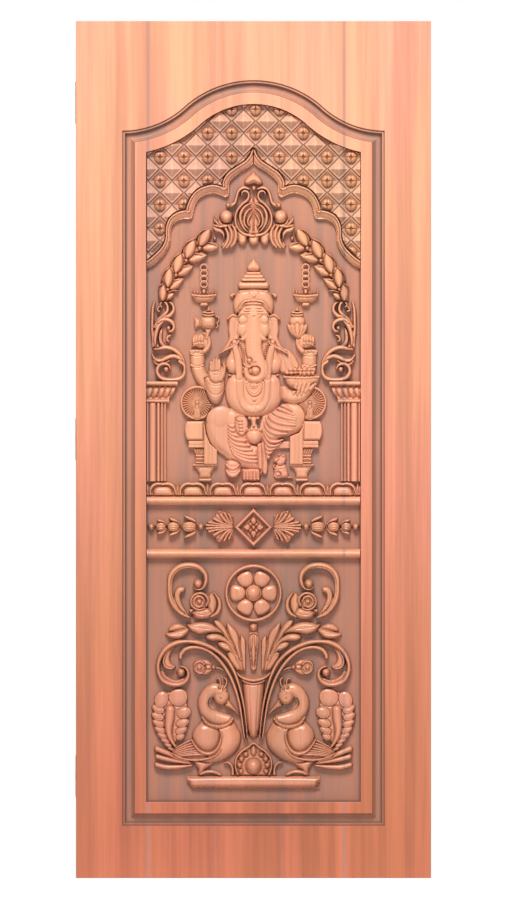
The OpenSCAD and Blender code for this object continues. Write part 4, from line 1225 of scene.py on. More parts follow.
# ---------------------------------------------------------------- shrine: columns, bands
def capital():
    r = Relief("capital_right", 1.1)
    win, sd = r.polygon_sd("185 1205, 262.6 1205, 262.6 1217.2, 185 1217.2")
    r.put(win, sd, 13 + 6 * np.clip((r.Z[win] - 1206) / 3, 0, 1), groove=0)
    r.line([(185, 1209, 0.9), (262, 1209, 0.9)], 2)
    cove = marks("188 1205.5, 262.6 1205.5, 262.6 1172, 206 1172, 202 1180, 195 1190")
    r.patch(cove, 6, 12, over=3, rounded=False)
    for k in range(6):
        x = 198 + 14.5 * k
        edge = max(0, (202 - x)) * 0.9
        r.dome(x, 1190 + edge * 0.4, 9.5, 15 - edge * 0.5, 8, 16.5, turn=28, power=2.2, groove=2.4,
               outline=False)
        r.line([(x - 3, 1201, 1), (x + 2, 1190, 1.2), (x + 5, 1180, 1)], 1.6)
    win, sd = r.polygon_sd("206 1164, 262.6 1164, 262.6 1174, 206 1174")
    r.put(win, sd, 9 + 8 * np.clip(1 - ((r.Z[win] - 1169) / 6) ** 2, 0, 1), groove=1.5)
    return r.carve(wall=0.7, edge=1.2)


FLUTES = marks("216.8 2.6, 224.4 3.2, 233 4.2, 247 8.6, 259.2 2.6")


def pillar():
    r = Relief("pillar_right", 1.3)
    win, sd = r.polygon_sd("213 971.6, 262.6 971.6, 262.6 1163.7, 213 1163.7")
    r.put(win, sd, np.full(sd.shape, 6.5), groove=0)
    for x, w in FLUTES:
        r.stroke([(x, 965, w), (x, 1170, w)], 8, 16 if w > 4 else 14, groove=1.8, outline=False)
    return r.carve(wall=0.7, edge=1.2)


def bead(node):
    r = Relief(node, 1.5)
    low, high = mm_box(node)
    z0, z1 = low[2], high[2]
    mid = (z0 + z1) / 2
    win, sd = r.polygon_sd([(low[0], z0), (high[0], z0), (high[0], z1), (low[0], z1)])
    v = (r.Z[win] - mid) / ((z1 - z0) / 2)
    h = 4 + 14 * np.sqrt(np.clip(1 - np.clip(np.abs(v) / 0.9, 0, 1) ** 2, 0, 1))
    r.put(win, sd, h, groove=0)
    return r.carve(wall=0.8, edge=0.8)


def lotus_petals():
    r = Relief("lotus_band", 1.3)
    win, sd = r.polygon_sd("-262.6 937.3, 262.6 937.3, 262.6 962, -262.6 962")
    r.put(win, sd, np.full(sd.shape, 5.0), groove=0)
    xs = [-2 + 73.5 * i for i in range(-4, 5)]
    for x in xs:
        r.origin = (x + 36.75, 0)
        for w, h in ((13, 12), (8, 15)):
            r.patch(mirrored([(-w, 937), (-w * 0.9, 950), (-w * 0.35, 961), (0, 953 + w)]), 6, h, over=5,
                    outline=w > 10)
    for x in xs:
        r.origin = (x, 0)
        r.patch(mirrored("-33 937, -34 948, -31 960, -23 967.5, -12 970.5, 0 969"), 9, 16, over=4.5,
                groove=2.5)
        r.patch(mirrored("-27 936, -28 948, -25 956, -18 962, -8 964, 0 962.5"), 6.5, 7.5, over=2, groove=0,
                outline=False)
        r.patch(mirrored("-23 936, -24 947, -20 955, -12 959.5, 0 960.5"), 8, 15, over=10, groove=1.5,
                outline=False)
    return r.carve(wall=0.6, edge=1.5)


# ---------------------------------------------------------------- throne and wheels
def throne():
    r = Relief("throne", 1.25)
    for side in r.both_sides():
        # feet, then the carved neck with its rings
        r.patch("88 1013, 148 1013, 140 1001, 134 990, 133 979, 104 979, 103 990, 98 1001", 4, 9.5, over=9,
                rounded=False)
        r.patch("103 972, 134 972, 134 979, 103 979", 7, 10, over=3, rounded=False)
        r.stroke([(90, 1012, 2.6), (147, 1012, 2.6)], 6, 12)
        for k in range(10):
            r.ball(94 + 5.6 * k, 1006.5, 2.3, 7, 12, groove=1.0, outline=False)
        r.patch("122 1014, 142 1014, 142 1036, 149 1053, 122 1053", 4, 9, over=4, rounded=False)
        for z in (1018, 1026.5, 1035):
            r.stroke([(122, z, 2.6), (142.5, z, 2.6)], 6, 12.5, outline=False)
        for k in range(4):
            r.ball(126 + 5.2 * k, 1022.4, 2.2, 7, 12, groove=0.8, outline=False)
            r.stroke([(126 + 6.0 * k, 1050, 2.2), (125 + 5.2 * k, 1040, 1.6)], 6, 12, groove=1.2,
                     outline=False)
        # step and seat beam
        r.patch("121 1053, 160 1053, 160 1073, 121 1073", 9, 13, over=2.5, rounded=False)
        r.stroke([(121, 1057.5, 2.6), (159.5, 1057.5, 2.6)], 10, 15.5, outline=False)
        r.patch("122 1073, 163 1073, 167 1080, 169.5 1090, 170 1100, 168 1112, 163 1119.5, 122 1119.5", 11,
                17, over=5, rounded=False)
        # cloth over the post, in flat upright folds
        edge = marks("121 1119.5, 120.6 1106, 111 1091, 88.5 1082")
        if side < 0:
            edge = marks("120 1119.5, 119.8 1112, 116 1088, 106 1064, 88.5 1048")
        post = edge + [(88.5, 1013.5), (122.5, 1013.5), (122.5, 1119.5)]
        r.patch(post, 10, 14, over=2, rounded=False)
        for x, w in ((95, 5.5), (106, 4.5), (115.5, 5)):
            win, sd = r.polygon_sd(post)
            xx = r.X[win] * side
            r.H[win] += np.where(sd < -1, 0.6 * np.sqrt(np.clip(1 - ((xx - x) / w) ** 2, 0, 1)), 0)
            r.H[win] -= np.where(sd < -1, 0.8 * np.exp(-((xx - x - w - 0.4) / 0.9) ** 2), 0)
    r.patch("50 1052, 88 1052, 88 1070, 50 1070", 5, 8, over=2, rounded=False)
    return r.carve(wall=0.7, edge=1.4)


HIDDEN_LEFT = marks("96 1208, 123 1208, 114.5 1175.5, 103 1158.5, 111 1142.5, 121 1121, 96 1121")
HIDDEN_RIGHT = marks("94 1208, 151.5 1208, 141 1182.5, 121 1166.5, 109 1162, 122 1149, 127 1128, 125 1120, "
                     "94 1120")


def wheel(side):
    node = "throne_wheel_right" if side > 0 else "throne_wheel_left"
    r = Relief(node, 0.9)
    cx, cz = 138 * side, 1164.5
    X, Z = r.X - cx, r.Z - cz
    q = np.hypot(X, Z)
    a = np.arctan2(Z, X)
    rim = 4 + 9 * np.sqrt(np.clip(1 - ((q - 38.7) / 3.6) ** 2, 0, 1))
    count = 34
    swelling = 0.6 + 2.2 * np.clip((q - 8) / 22, 0, 1)
    spokes = 7.0 + swelling * np.cos(a * count) * np.clip((36 - q) / 2, 0, 1) ** 0.5
    h = np.where(q > 35.2, rim, spokes)
    r.put(EVERYWHERE, q - 42, h, groove=0)
    # small peacock standing in the middle
    r.origin = (cx, cz)
    r.patch("-3 2, 3 2, 5 -10, 9 -24, 8 -38, 0 -40, -8 -38, -9 -24, -5 -10", 6, 11, over=5, outline=False)
    for x in (-3.4, 0, 3.4):
        r.line([(x * 0.6, -14, 0.9), (x * 1.5, -36, 1)], 1.8)
    r.ball(0, 0, 4.6, 7, 12.5, outline=False)
    r.ball(0, 0, 1.6, 9, 13, outline=False, groove=0.6)
    r.origin = (0, 0)
    hidden = HIDDEN_RIGHT if side > 0 else flip(HIDDEN_LEFT)
    win, sd = r.polygon_sd(hidden, 12)
    r.S[win] = np.maximum(r.S[win], -sd)
    return r.carve(wall=0.6, edge=1.4)


def mouse():
    r = Relief("mouse", 0.8)
    r.stroke("84 981 2.4, 91 982 2.2, 96 979.5 1.8", 3, 8)
    r.patch("49 984, 50 1000, 55 1012, 66 1016, 78 1014, 83 1004, 86 990, 84 981, 70 978, 54 979", 4, 12,
            over=11)
    r.line("56 992 1.5, 62 1000 1.6, 72 1002 1.6, 78 994 1.5", 1.6)
    r.dome(60, 989, 8, 7, 5, 11, outline=False)
    r.patch("58 1010, 54 1022, 61 1033, 70 1038, 78 1036, 81 1027, 78 1016, 68 1010", 5, 12, over=8)
    r.leaf((62, 1028), (49, 1021), 5, 5, 11)
    r.dome(73, 1034, 5, 4.4, 8, 12.5, turn=30)
    r.dome(64, 1037, 4, 3.4, 7, 12)
    r.ball(62, 1027, 1.4, 9, 11.5, groove=1.2, outline=False)
    r.ball(48.5, 1021, 2, 5, 10)
    r.stroke("52 1012 2, 49 1008 2.4, 53 1004 2", 6, 11)
    return r.carve()


# ---------------------------------------------------------------- the seated figure
def swag(ends, w):
    """A fold of cloth hanging between two ends through its lowest point, thin at both ends."""
    out = []
    for t in np.linspace(0, 1, 8):
        x, z = [p * (1 - t) * (1 - 2 * t) + 4 * q * t * (1 - t) + v * t * (2 * t - 1) for p, q,
                v in zip(*marks(ends))]
        out.append((x, z, 0.8 + w * math.sin(math.pi * (0.08 + 0.84 * t)) ** 0.8))
    return out


def figure():
    r = Relief("ganesha_figure", 1.2, groove_scale=0.6)

    # --- cloth over the right shoulder, ears, and the back of the head
    r.patch("56 1296, 72 1299, 88 1292, 100 1280, 109 1264, 118 1244, 112 1236, 70 1236, 60 1260", 5, 9.5,
            over=10)
    for line in ("72 1294 1.6, 86 1276 2, 96 1252 1.6", "84 1290 1.6, 98 1270 2, 107 1248 1.6",
                 "64 1290 1.6, 74 1268 2, 82 1246 1.6"):
        r.line(line, 1.4)
    for _ in r.both_sides():
        r.patch("36 1376, 50 1380, 60 1374, 62 1356, 63 1340, 61 1325, 66 1311, 75 1297, 85 1284, 70 1290, "
                "55 1299, 42 1307, 34 1316, 34 1350", 5, 11, over=7)
        r.line("43 1366 2, 44 1348 2.6, 43 1328 2", 1.2)
        r.line("53 1364 2.4, 54 1345 3, 52 1322 2.4", 0.6)
        r.stroke("41 1377 2.4, 50 1379.5 3.2, 58 1375.5 3, 64 1369 2.2", 8, 15)
        r.stroke("33 1317 1.8, 42 1308 2.6, 56 1300 2.8, 70 1293 2.6, 84 1284 1.4", 8, 14.5)

    # --- upper arms with their bands and cuffs
    for _ in r.both_sides():
        r.patch("120 1294, 118 1270, 118 1254, 112 1236, 96 1214, 104 1196, 122 1196, 138 1212, 149 1232, "
                "155 1254, 156 1280, 154 1294", 4, 13.5, over=14)
        r.stroke("123 1256 1.8, 139 1252 2.2, 155 1257 1.8", 9, 13.6, outline=False)
        r.stroke("122 1284 1.8, 139 1280 2.2, 156 1286 1.8", 9, 14, outline=False)
        # cuff: a ring of small petals turned down over the wrist
        for k in range(5):
            x, z = 121 + 8.6 * k, 1291 - 2.0 * abs(k - 2)
            r.leaf((x, z + 15), (x + 2.0 * (k - 2), z - 4), 6.2, 9, 14.5, belly=0.62, groove=1.0,
                   outline=False)
        r.stroke("110 1302 1.6, 122 1309 2.2, 136 1309 2.4, 151 1303 1.6", 8, 14)
        # hand closed to a fist, its thumb up the inner side
        r.patch("112 1298, 106 1311, 110 1326, 121 1335, 134 1333, 147 1329, 151 1317, 148 1306, 132 1298",
                6, 13.5, over=9)
        r.stroke("120 1291 6.5, 112 1300 6.5, 108 1311 6, 111 1324 5, 119 1333 3.6, 124 1335 2.4", 9, 17)
        for x, z in marks("146.5 1316, 139.6 1319, 132.4 1320, 125.4 1319"):
            r.dome(x, z, 4.1, 10.5, 13, 18, groove=0.7, outline=False, power=2.6)
            r.dome(x - 0.5, z - 9.5, 3.9, 5, 13, 16.6, groove=0.6, outline=False)
    # --- what the upper hands hold: on the left a pot with an axe blade, on the right a lotus pot
    r.stroke("-111 1347 9, -112 1335 6, -115 1322 4", 4, 11)
    r.patch("-145 1376, -137 1371, -130 1367, -128 1352, -134 1350, -144 1345, -146 1360", 4, 12, over=8)
    r.stroke("-92 1376 1.6, -86 1374 2.2, -85 1366 2.4, -89 1359 2.4, -87 1352 2.2, -92 1349 1.6", 5, 12)
    r.patch("-128 1347, -131 1362, -127 1375, -112 1379, -97 1376, -92 1363, -95 1348, -111 1344", 5, 16,
            over=16)
    r.line("-126 1349 1.3, -111 1346 1.3, -96 1349 1.3", 2.2)
    for z, w in ((1380, 13), (1386, 12)):
        r.stroke([(-110 - w, z, 2.8), (-110, z - 1.5, 3), (-110 + w, z, 2.8)], 7, 15)
    r.patch("-122 1388.5, -115 1392, -110 1400.5, -105 1392, -98 1388.5", 7, 14, over=7)
    r.stroke("110 1342 8, 110 1332 6, 111 1322 4", 4, 11)
    r.ball(107, 1363, 20, 5, 15)
    for foot, x, z, w in marks("108 82 1358 7, 110 132 1358 7, 108 93 1357 7, 109 121 1357 7, "
                               "108 107 1362 8"):
        r.leaf((foot, 1322), (x, z), w, 7, 16.5, rib=0.8, belly=0.62)
    for z, w in ((1380, 13), (1386, 12)):
        r.stroke([(107 - w, z, 2.8), (107, z - 1.5, 3), (107 + w, z, 2.8)], 7, 15)
    r.patch("95 1388.5, 102 1392, 107 1400.5, 112 1392, 119 1388.5", 7, 14, over=7)

    # --- legs: thighs and shins under their cloth
    left_leg = marks("-42 1150, -58 1152, -75 1157, -95 1153, -111 1140, -118.5 1120, -117 1092, -108 1066, "
                     "-92 1047, -70 1030, -50 1016, -30 1007, -8 1002, 14 1000, 20 1030, 12 1056, -8 1066, "
                     "-20 1100, -20 1130")
    r.patch(left_leg, 5, 14.5, over=24)
    r.ball(-82, 1125, 34, 9, 16.5, groove=0, outline=False, tallest=True)
    right_leg = marks("22 1132, 42 1146, 60 1154, 76 1163, 95 1165.5, 112 1160, 124 1146, 128 1128, "
                      "124 1108, 112 1094, 92 1084, 72 1080, 56 1070, 44 1050, 36 1026, 26 1040, 20 1066, "
                      "14 1100")
    r.patch(right_leg, 5, 14.5, over=22)
    r.ball(96, 1130, 30, 9, 16.5, groove=0, outline=False, tallest=True)
    for line in ("-100 1080 3, -84 1054 4, -60 1034 3", "-110 1098 2, -98 1066 3, -80 1046 2.4"):
        r.line(line, 0.6)
    for fold in ("-62 1112, -53 1107, -41 1111", "-62 1104, -52 1097, -28 1100",
                 "-62 1096, -50 1086, -24 1086", "-62 1088, -43 1075, -15 1073",
                 "-62 1080, -43 1064, -9 1061", "-61 1072, -40 1053, -2 1050",
                 "-59 1063, -37 1043.5, 6 1039", "-56 1053, -32 1034.5, 10 1030",
                 "-52 1043, -26 1025.5, 11 1021"):
        r.stroke(swag(fold, 3.9), 11.5, 17.4, groove=1.3, outline=False)
    for fold in ("60 1160, 78 1155, 95 1144", "51 1154, 73 1146, 99 1134", "42 1146, 66 1132, 104 1122.5",
                 "36 1138, 56 1118, 103 1110", "31 1129, 49 1105, 96 1098", "27 1120, 42 1094, 82 1089"):
        r.stroke(swag(fold, 4.4), 11.5, 17.6, groove=1.4, outline=False)
    # lower cloth hanging from the right knee, and the sash between the legs
    for fold in ("27 1090, 42 1070, 72 1074", "25 1078, 39 1059, 64 1063", "25 1065, 36 1050, 54 1054",
                 "26 1052, 34 1041, 46 1045", "28 1039, 34 1031, 40 1034"):
        r.stroke(swag(fold, 4.6), 7, 15, groove=1.8)
    r.patch("17 1066, 26 1068, 31 1040, 36 1012, 34 992, 27 988, 20 996, 20 1030", 6, 12, over=6)
    r.patch("8 1064, 20 1066, 22 1040, 23 1010, 20 989, 12 990, 10 1020", 7, 15, over=5)
    r.line("15 1058 1.1, 16.5 1030 1.2, 17 996 1.1", 1.8)
    r.line("27 1058 1.0, 30 1030 1.2, 29 996 1.0", 1.4)
    r.patch("-40 1140, 40 1140, 30 1112, 22 1092, -20 1088, -30 1112", 10, 13.4, over=6, outline=False,
            tallest=True, groove=0)
    # folded foot with its toes in front of the left thigh
    r.patch("-44 1128, -34 1132, -18 1128, -12 1112, -16 1092, -26 1084, -40 1088, -46 1104", 8, 15,
            over=9)
    for k in range(5):
        r.dome(-33 + 0.9 * k, 1122 - 8.2 * k, 8.6 - 0.4 * k, 4.6, 13, 18, turn=-8, groove=0.8,
               outline=False, power=2.6)
    # ankle cushion and the standing foot
    r.patch("-68 1022, -69 1000, -64 984, -50 979, -36 984, -31 1000, -34 1018, -52 1026", 4, 13, over=12)
    r.stroke(swag("-68 1014, -52 1003, -36 1012", 3.6), 10, 15.5)
    r.stroke(swag("-67 998, -51 986, -33 999", 4.0), 10, 15.5)
    r.patch("-28 1003, 14 1003, 17 990, 15 974, -6 972.5, -26 974, -30 988", 4, 12, over=8)
    for k in range(5):
        r.stroke([(-23 + 8.6 * k, 997, 3.2), (-23 + 8.6 * k, 979 - 0.3 * k, 3.8)], 7, 14.5, groove=1.8)
        r.line([(-25 + 8.6 * k, 980, 1), (-21 + 8.6 * k, 980, 1)], 1.4)

    # --- chest, belly and the long scarf
    r.patch("-60 1284, -66 1272, -69 1258, -64 1244, -56 1236, 0 1230, 56 1236, 64 1244, 69 1258, 66 1272, "
            "60 1284, 46 1318, -46 1318", 6, 12.5, over=12)
    for s in (1, -1):
        r.dome(s * 50, 1256, 18, 20, 8, 15.5, groove=0, outline=False, tallest=True)
        r.stroke([(s * 41, 1233, 2.6), (s * 52, 1230.5, 3.2), (s * 61, 1233, 2.6)], 7, 14.5)
    belly = marks("-60 1228, -67 1212, -70 1190, -66 1168, -54 1149, -34 1136, -10 1130, 12 1130, 36 1136, "
                  "56 1149, 68 1168, 71 1190, 67 1212, 60 1228, 40 1234, -40 1234")
    r.patch(belly, 6, 16.5, over=26, groove=2.6)
    r.dome(0, 1185, 58, 48, 10, 17.5, groove=0, outline=False, tallest=True)
    # folded legs of the scarf come down either side of the trunk and meet in a loop
    for _ in r.both_sides():
        r.stroke("46 1312 6, 43 1296 8, 39 1276 9, 36 1252 9, 34 1225 9, 33 1196 9, 30 1172 8.5, 20 1154 8, "
                 "2 1147 8", 14.5, 18.5, groove=1.6)
    r.patch("-23 1220, -23 1180, -13 1162, 1 1157, 14 1162, 24 1180, 24 1220", 13, 15, over=5,
            outline=False, groove=0)
    r.stroke("-15 1216 3.6, -12.5 1201 4.6, -6 1190.5 5.4, 2 1187 5.6, 10.5 1190.5 5.4, 16.5 1201 4.6, "
             "18.5 1216 3.6", 15.6, 17.4, flat=True, groove=1.6)
    beads = marks("-15 1213, -12 1200, -5 1190.5, 2 1187.5, 9 1190.5, 16 1200, 18.5 1213")
    for x, z in smooth_path(beads, 2):
        r.ball(x, z, 2.0, 16.5, 19, outline=False, groove=0.9)
    r.line("-20 1200 1, -12 1186 1.2, 2 1180 1.2, 15 1186 1.2, 24 1200 1", 1.2)
    for x, z, rad in marks("1.5 1206.5 8, 1.5 1206.5 4.6, 2 1172 5.4, 2 1172 3"):
        r.ball(x, z, rad, 14.5, 19, outline=False, groove=1.2)
    # knot of the waist cloth
    r.stroke("-11 1127 3.6, 0 1126 4, 12 1127 3.6", 9, 17)
    r.stroke("0 1123 8, 1 1112 7, 2 1102 10", 9, 15.5)
    r.line([(-4, 1120, 1), (-3, 1106, 1.1)], 1.4)
    r.line([(5, 1120, 1), (5, 1106, 1.1)], 1.4)
    r.ball(1.6, 1084, 21.2, 8, 19)
    for x, z in marks("-14 1099, -4.5 1100.5, 6.5 1100.5, 16.5 1099"):
        r.dome(x, z, 5.6, 5.0, 13, 17.5, groove=1.0, outline=False)

    # --- pearl strings, head, trunk
    r.patch("-38 1318, 38 1318, 36 1296, 30 1270, 20 1255, -20 1250, -31 1272, -38 1296", 6, 10, over=4,
            outline=False)
    for _ in r.both_sides():
        r.stroke("47 1304 5, 43 1292 7.6, 39 1276 8.4, 36 1252 8.8, 34 1228 9", 14, 17.5, groove=1.2)
        r.stroke("35 1315 1.2, 42 1308 2, 56 1300 2.4, 70 1293 2.2, 84 1284 1.2", 13, 17.6, groove=1.0)
    face = marks("-38 1386, -39.5 1366, -38.5 1346, -34 1330, -24 1321, 24 1321, 34 1330, 38.5 1346, "
                 "39.5 1366, 38 1386, 30 1399, 16 1408, 0 1411, -16 1408, -30 1399")
    r.patch(face, 9, 15, over=12)
    for _ in r.both_sides():
        r.dome(27, 1342, 13, 18, 12, 16.2, groove=0, outline=False, tallest=True)
        # closed round eyes: a raised ring, a full lid and the lash line
        r.line("15 1366 1.2, 19 1375 1.3, 27 1378.5 1.3, 35 1374 1.3, 38 1366 1.2", 1.4)
        r.line("15 1366 1.0, 19 1358 1.2, 27 1354.5 1.3, 34 1358 1.2, 38 1366 1.0", 1.1)
        r.dome(26.5, 1366.5, 10.5, 9.6, 14.6, 16.6, groove=0.5, outline=False)
        r.line("18 1363 0.8, 26 1359.5 1.1, 35 1363 0.8", 1.3)
        r.stroke("12 1374 1.2, 19 1382 2.2, 29 1384 2.4, 38 1377 1.4", 14, 16.8, outline=False, groove=0.4)
        r.patch("17 1342, 24 1330, 31 1324, 35 1320.5, 31 1316.5, 20 1317, 13 1328", 12.5, 17.5, over=5,
                groove=1.0)
    r.stroke("0 1392 10, 0 1378 13, 0 1360 16, 0 1342 19, 0 1326 20.5, 0 1312 20.5", 12.5, 19, groove=0,
             tallest=True, per=6)
    trunk = marks("0 1318 20, 0 1302 20.5, 2 1288 20.5, 7 1273 19.5, 14 1259 17, 20 1246 14, 21 1236 12, "
                  "17 1227.5 10, 8 1222.5 9, -3 1222.5 8.4, -12 1227 7.8, -17 1235 7.4, -18.5 1246 6.4")
    r.stroke(trunk, 11.5, 19, groove=0, tallest=True, per=6)
    for line in ("-21.5 1314 1.4, -21.5 1298 1.6, -19 1282 1.6, -12 1268 1.4",
                 "21.5 1314 1.4, 22 1298 1.6, 26 1280 1.6, 31.5 1262 1.6, 34.5 1246 1.6, 33 1230 1.6, "
                 "24 1218.5 1.4, 10 1212.5 1.4, -6 1213 1.4, -19 1220 1.4, -26 1232 1.6, -26 1248 1.4",
                 "-10 1246 1.2, -8 1236 1.3, 0 1230 1.3, 10 1231 1.3, 8 1244 1.2"):
        r.line(line, 2.6)
    for x0, z0, x1, z1, n in ((-32.5, 1309, -24.5, 1262, 11), (32, 1306, 29.5, 1282, 6)):
        for k in range(n):
            t = k / (n - 1)
            bow = 3.2 * math.sin(math.pi * t) * (1 if x0 < 0 else -0.3)
            r.ball(x0 + (x1 - x0) * t + bow, z0 + (z1 - z0) * t, 2.5, 13, 18, outline=False, groove=1.0)
    for k in range(7):
        z = 1332 - 9 * k
        r.line([(-16 + k, z, 0.7), (2 + k * 0.8, z - 3.5, 0.8), (19 + k * 0.4, z, 0.7)], 0.35)
    r.stroke("-25 1262 2, -20 1255 2.4, -11 1252 2.6, -3 1258 2.4, 4 1263 1.6", 11, 16.5, outline=False)
    r.ball(-10, 1268, 7.4, 9, 17, outline=False)
    r.ball(5.5, 1243, 11.8, 9, 19, outline=False, groove=1.4)
    for z, w in ((1384, 25), (1390.5, 22), (1397, 18)):
        r.stroke([(-w, z, 2.2), (0, z + 1, 2.4), (w, z, 2.2)], 14, 17, groove=1.2, outline=False)
    r.ball(1.5, 1376, 3.2, 14, 17.8, outline=False, groove=1.0)

    # --- crown: knobs, dome with its rims and jewels, then the stacked rings and the bud
    for s in (1, -1):
        r.ball(s * 53, 1427, 5.2, 5, 13)
        r.stroke([(s * 47, 1430, 2.6), (s * 52, 1430, 2.6)], 5, 11)
    cap = marks("-44 1380, -50 1396, -50 1411, -45 1425, -38 1436, -32 1442, 0 1445, 32 1442, 38 1436, "
                "45 1425, 50 1411, 50 1396, 44 1380, 38 1386, 30 1396, 22 1404, 10 1407, 0 1407, -10 1407, "
                "-22 1404, -30 1396, -38 1386")
    r.patch(cap, 7, 16, over=16, groove=2.2)
    for off, w in ((0, 2.6), (6.5, 2.2)):
        rim = [(x, z + off * share) for x, z, share in mirrored("-40 1384 0.5, -31 1396 0.8, -22 1405 1, "
                                                                "-10 1408 1, 0 1408 1")]
        r.stroke(wide(rim, w, (1.2, 1.2)).tolist(), 14, 18, groove=1.4, outline=False)
    for k in range(17):
        x = -34 + 4.25 * k
        r.ball(x, 1439.5 - 0.0035 * x * x, 1.5, 13.5, 16.5, outline=False, groove=0.5)
    r.ball(1, 1427, 6, 14, 18.5, outline=False)
    for x, z in marks("-8 1419, 10 1419, 1 1415, -11 1427, 13 1427, -4 1416, 6 1416, -10 1434, 12 1434"):
        r.ball(x, z, 2.4, 14, 17.4, outline=False, groove=0.8)
    r.stroke([(-30.5, 1452.5, 8.5), (30.5, 1452.5, 8.5)], 8, 17.5, groove=2)
    r.line([(-36, 1460.5, 0.8), (36, 1460.5, 0.8)], 0.8)
    r.patch(mirrored("-30 1461, -28 1470, -21 1479, -17 1486"), 9, 14.5, over=4, rounded=False)
    for z, w, hw in marks("1465.5 26.5 3.6, 1473.5 22 3.4, 1482 15 3"):
        r.stroke([(-w, z, hw), (w, z, hw)], 13, 17, groove=1.0)
    r.patch(mirrored("0 1519, -6 1511, -13 1503, -16.5 1496, -15 1489, -9 1486"), 7, 16, over=15)

    # --- lower left hand, raised with its palm to the front
    r.patch("-121 1226, -119 1204, -115 1186, -106 1167, -93 1160, -80 1168, -72 1188, -70 1210, -73 1228, "
            "-95 1234", 5, 15, over=18)
    r.line("-115 1200 0.8, -104 1187 1.4, -88 1183.5 1.4, -72 1196 0.8", 1.4)
    r.line("-111 1211 0.8, -100 1206 1.2, -86 1206 1.2, -74 1212 0.8", 1.0)
    r.patch("-111 1250, -112 1234, -107 1219, -96 1212, -82 1214, -72 1224, -69 1238, -75 1252, -80 1268, "
            "-90 1272, -103 1268", 8, 15.5, over=9)
    for x, low, top in marks("-104 1244 1266, -97 1246 1273, -90 1246 1275, -83.4 1244 1272"):
        r.stroke([(x, low, 3.9), (x - 0.3, (low + top) / 2, 3.9), (x - 0.6, top - 3.5, 3.5)], 13, 17,
                 groove=1.6, tallest=True)
    r.stroke("-80 1222 6, -74 1235 6, -71.5 1249 4.8, -73 1259 3.4", 10, 17, groove=1.2, tallest=True)
    r.line("-110 1245 1.1, -97 1241 1.4, -80 1246 1.1", 1.4)
    r.line("-104 1238 1, -94 1232 1.2, -84 1236 1", 1.2)

    # --- lower right hand under the bowl of sweets
    r.patch("72 1233, 164 1233, 162 1219, 152 1207, 120 1199, 96 1200, 80 1212", 6, 14.5, over=14)
    r.patch("66 1204, 66 1178, 74 1168, 94 1161, 116 1164, 134 1176, 148 1196, 158 1210, 150 1216, "
            "140 1208, 120 1200, 100 1194, 88 1198, 78 1206", 6, 16, over=15)
    for x0, z0, x1, z1 in marks("98 1186 105 1208, 107 1184 115.5 1211, 117 1185 126 1212, "
                                "127 1190 136.5 1210, 138 1197 146 1206"):
        r.stroke([(x0, z0, 3), ((x0 + x1) / 2, (z0 + z1) / 2, 4.8), (x1, z1, 4.4)], 14.5, 18.4, groove=1.0,
                 outline=False)
    r.stroke("74 1228 2.4, 118 1225.5 2.8, 162 1228 2.4", 12, 16.5, groove=1.0)
    for k in range(12):
        r.line([(84 + 6 * k, 1222, 0.8), (90 + 4.9 * k, 1212, 0.8)], 0.9)
    for row, (x0, x1, z, n) in enumerate(((105, 133, 1251, 3), (91, 148, 1245, 6), (82, 157, 1237, 8))):
        for k in range(n):
            r.ball(x0 + (x1 - x0) * k / (n - 1), z, 5.8, 12, 16.5 + row, groove=0.6, outline=False)
            r.ball(x0 + (x1 - x0) * k / (n - 1), z, 5.2, 12.5, 17 + row, groove=0, outline=False,
                   tallest=True)
    return r.carve()


# ---------------------------------------------------------------- frieze
FRIEZE_Z = 860.5


def diamond():
    r = Relief("frieze_diamond", 0.9)
    r.origin = (0, 859)
    q = np.abs(r.X) + np.abs(r.Z - 859)
    frame_h = 6 + 11 * np.sqrt(np.clip(1 - ((q - 41.5) / 7.5) ** 2, 0, 1))
    h = np.where(q > 34, frame_h, 6 - 1.5 * np.exp(-((q - 33.5) / 2) ** 2))
    r.put(EVERYWHERE, (q - 48) / math.sqrt(2), h, groove=0)
    heart = marks("5 0, 9 6.5, 17 8.5, 24 4, 27 0, 24 -4, 17 -8.5, 9 -6.5")
    for k in range(4):
        a, d = math.radians(90 * k), math.radians(90 * k + 45)
        c, s = math.cos(a), math.sin(a)
        r.patch([(u * c - v * s, u * s + v * c) for u, v in heart], 7, 15, over=7, outline=False, groove=1.2)
        r.line([(8 * c, 8 * s, 1), (20 * c, 20 * s, 1.2)], 1.6)
        c, s = math.cos(d), math.sin(d)
        r.leaf((4 * c, 4 * s), (16 * c, 16 * s), 3.2, 7, 12, outline=False)
    r.ball(0, 0, 5.4, 9, 16.5, outline=False)
    return r.carve(wall=0.5, edge=1.6)


def palmette():
    """A solid fan of ribs that spring from the diamond's corner, their ends curled over at the rim."""
    r = Relief("frieze_palmette_left", 0.9)
    r.origin = (0, FRIEZE_Z)
    rim = marks("-119 0, -117.5 7, -111.5 13.5, -98.5 23, -90 37, -80 40, -70 36.5, -60 33, -47 27, -46 12, "
                "-43.5 0")
    r.patch(rim + [(x, -h) for x, h in rim[-2:0:-1]], 5, 11, over=9)
    for s in (1, -1):
        for mid_x, mid_h, x, h, w in marks("-47 12 -49 24 3.4, -53 14 -60 30 3.8, -60 14 -71 33 4.2, "
                                           "-67 13 -84 36 4.8, -76 9 -98 21 4.4, -82 5.5 -110 11.5 4, "
                                           "-84 2 -115 4 3.6"):
            r.stroke([(-46, s * 0.6, 1.6), (mid_x, s * mid_h, 0.8 * w), (x, s * h, w)], 10, 16.4,
                     outline=False)
        r.ball(-83, s * 36.5, 4.6, 11, 17.6, groove=0.8, outline=False)
    r.ball(-129, 0, 9.2, 6, 18)
    return r.carve()


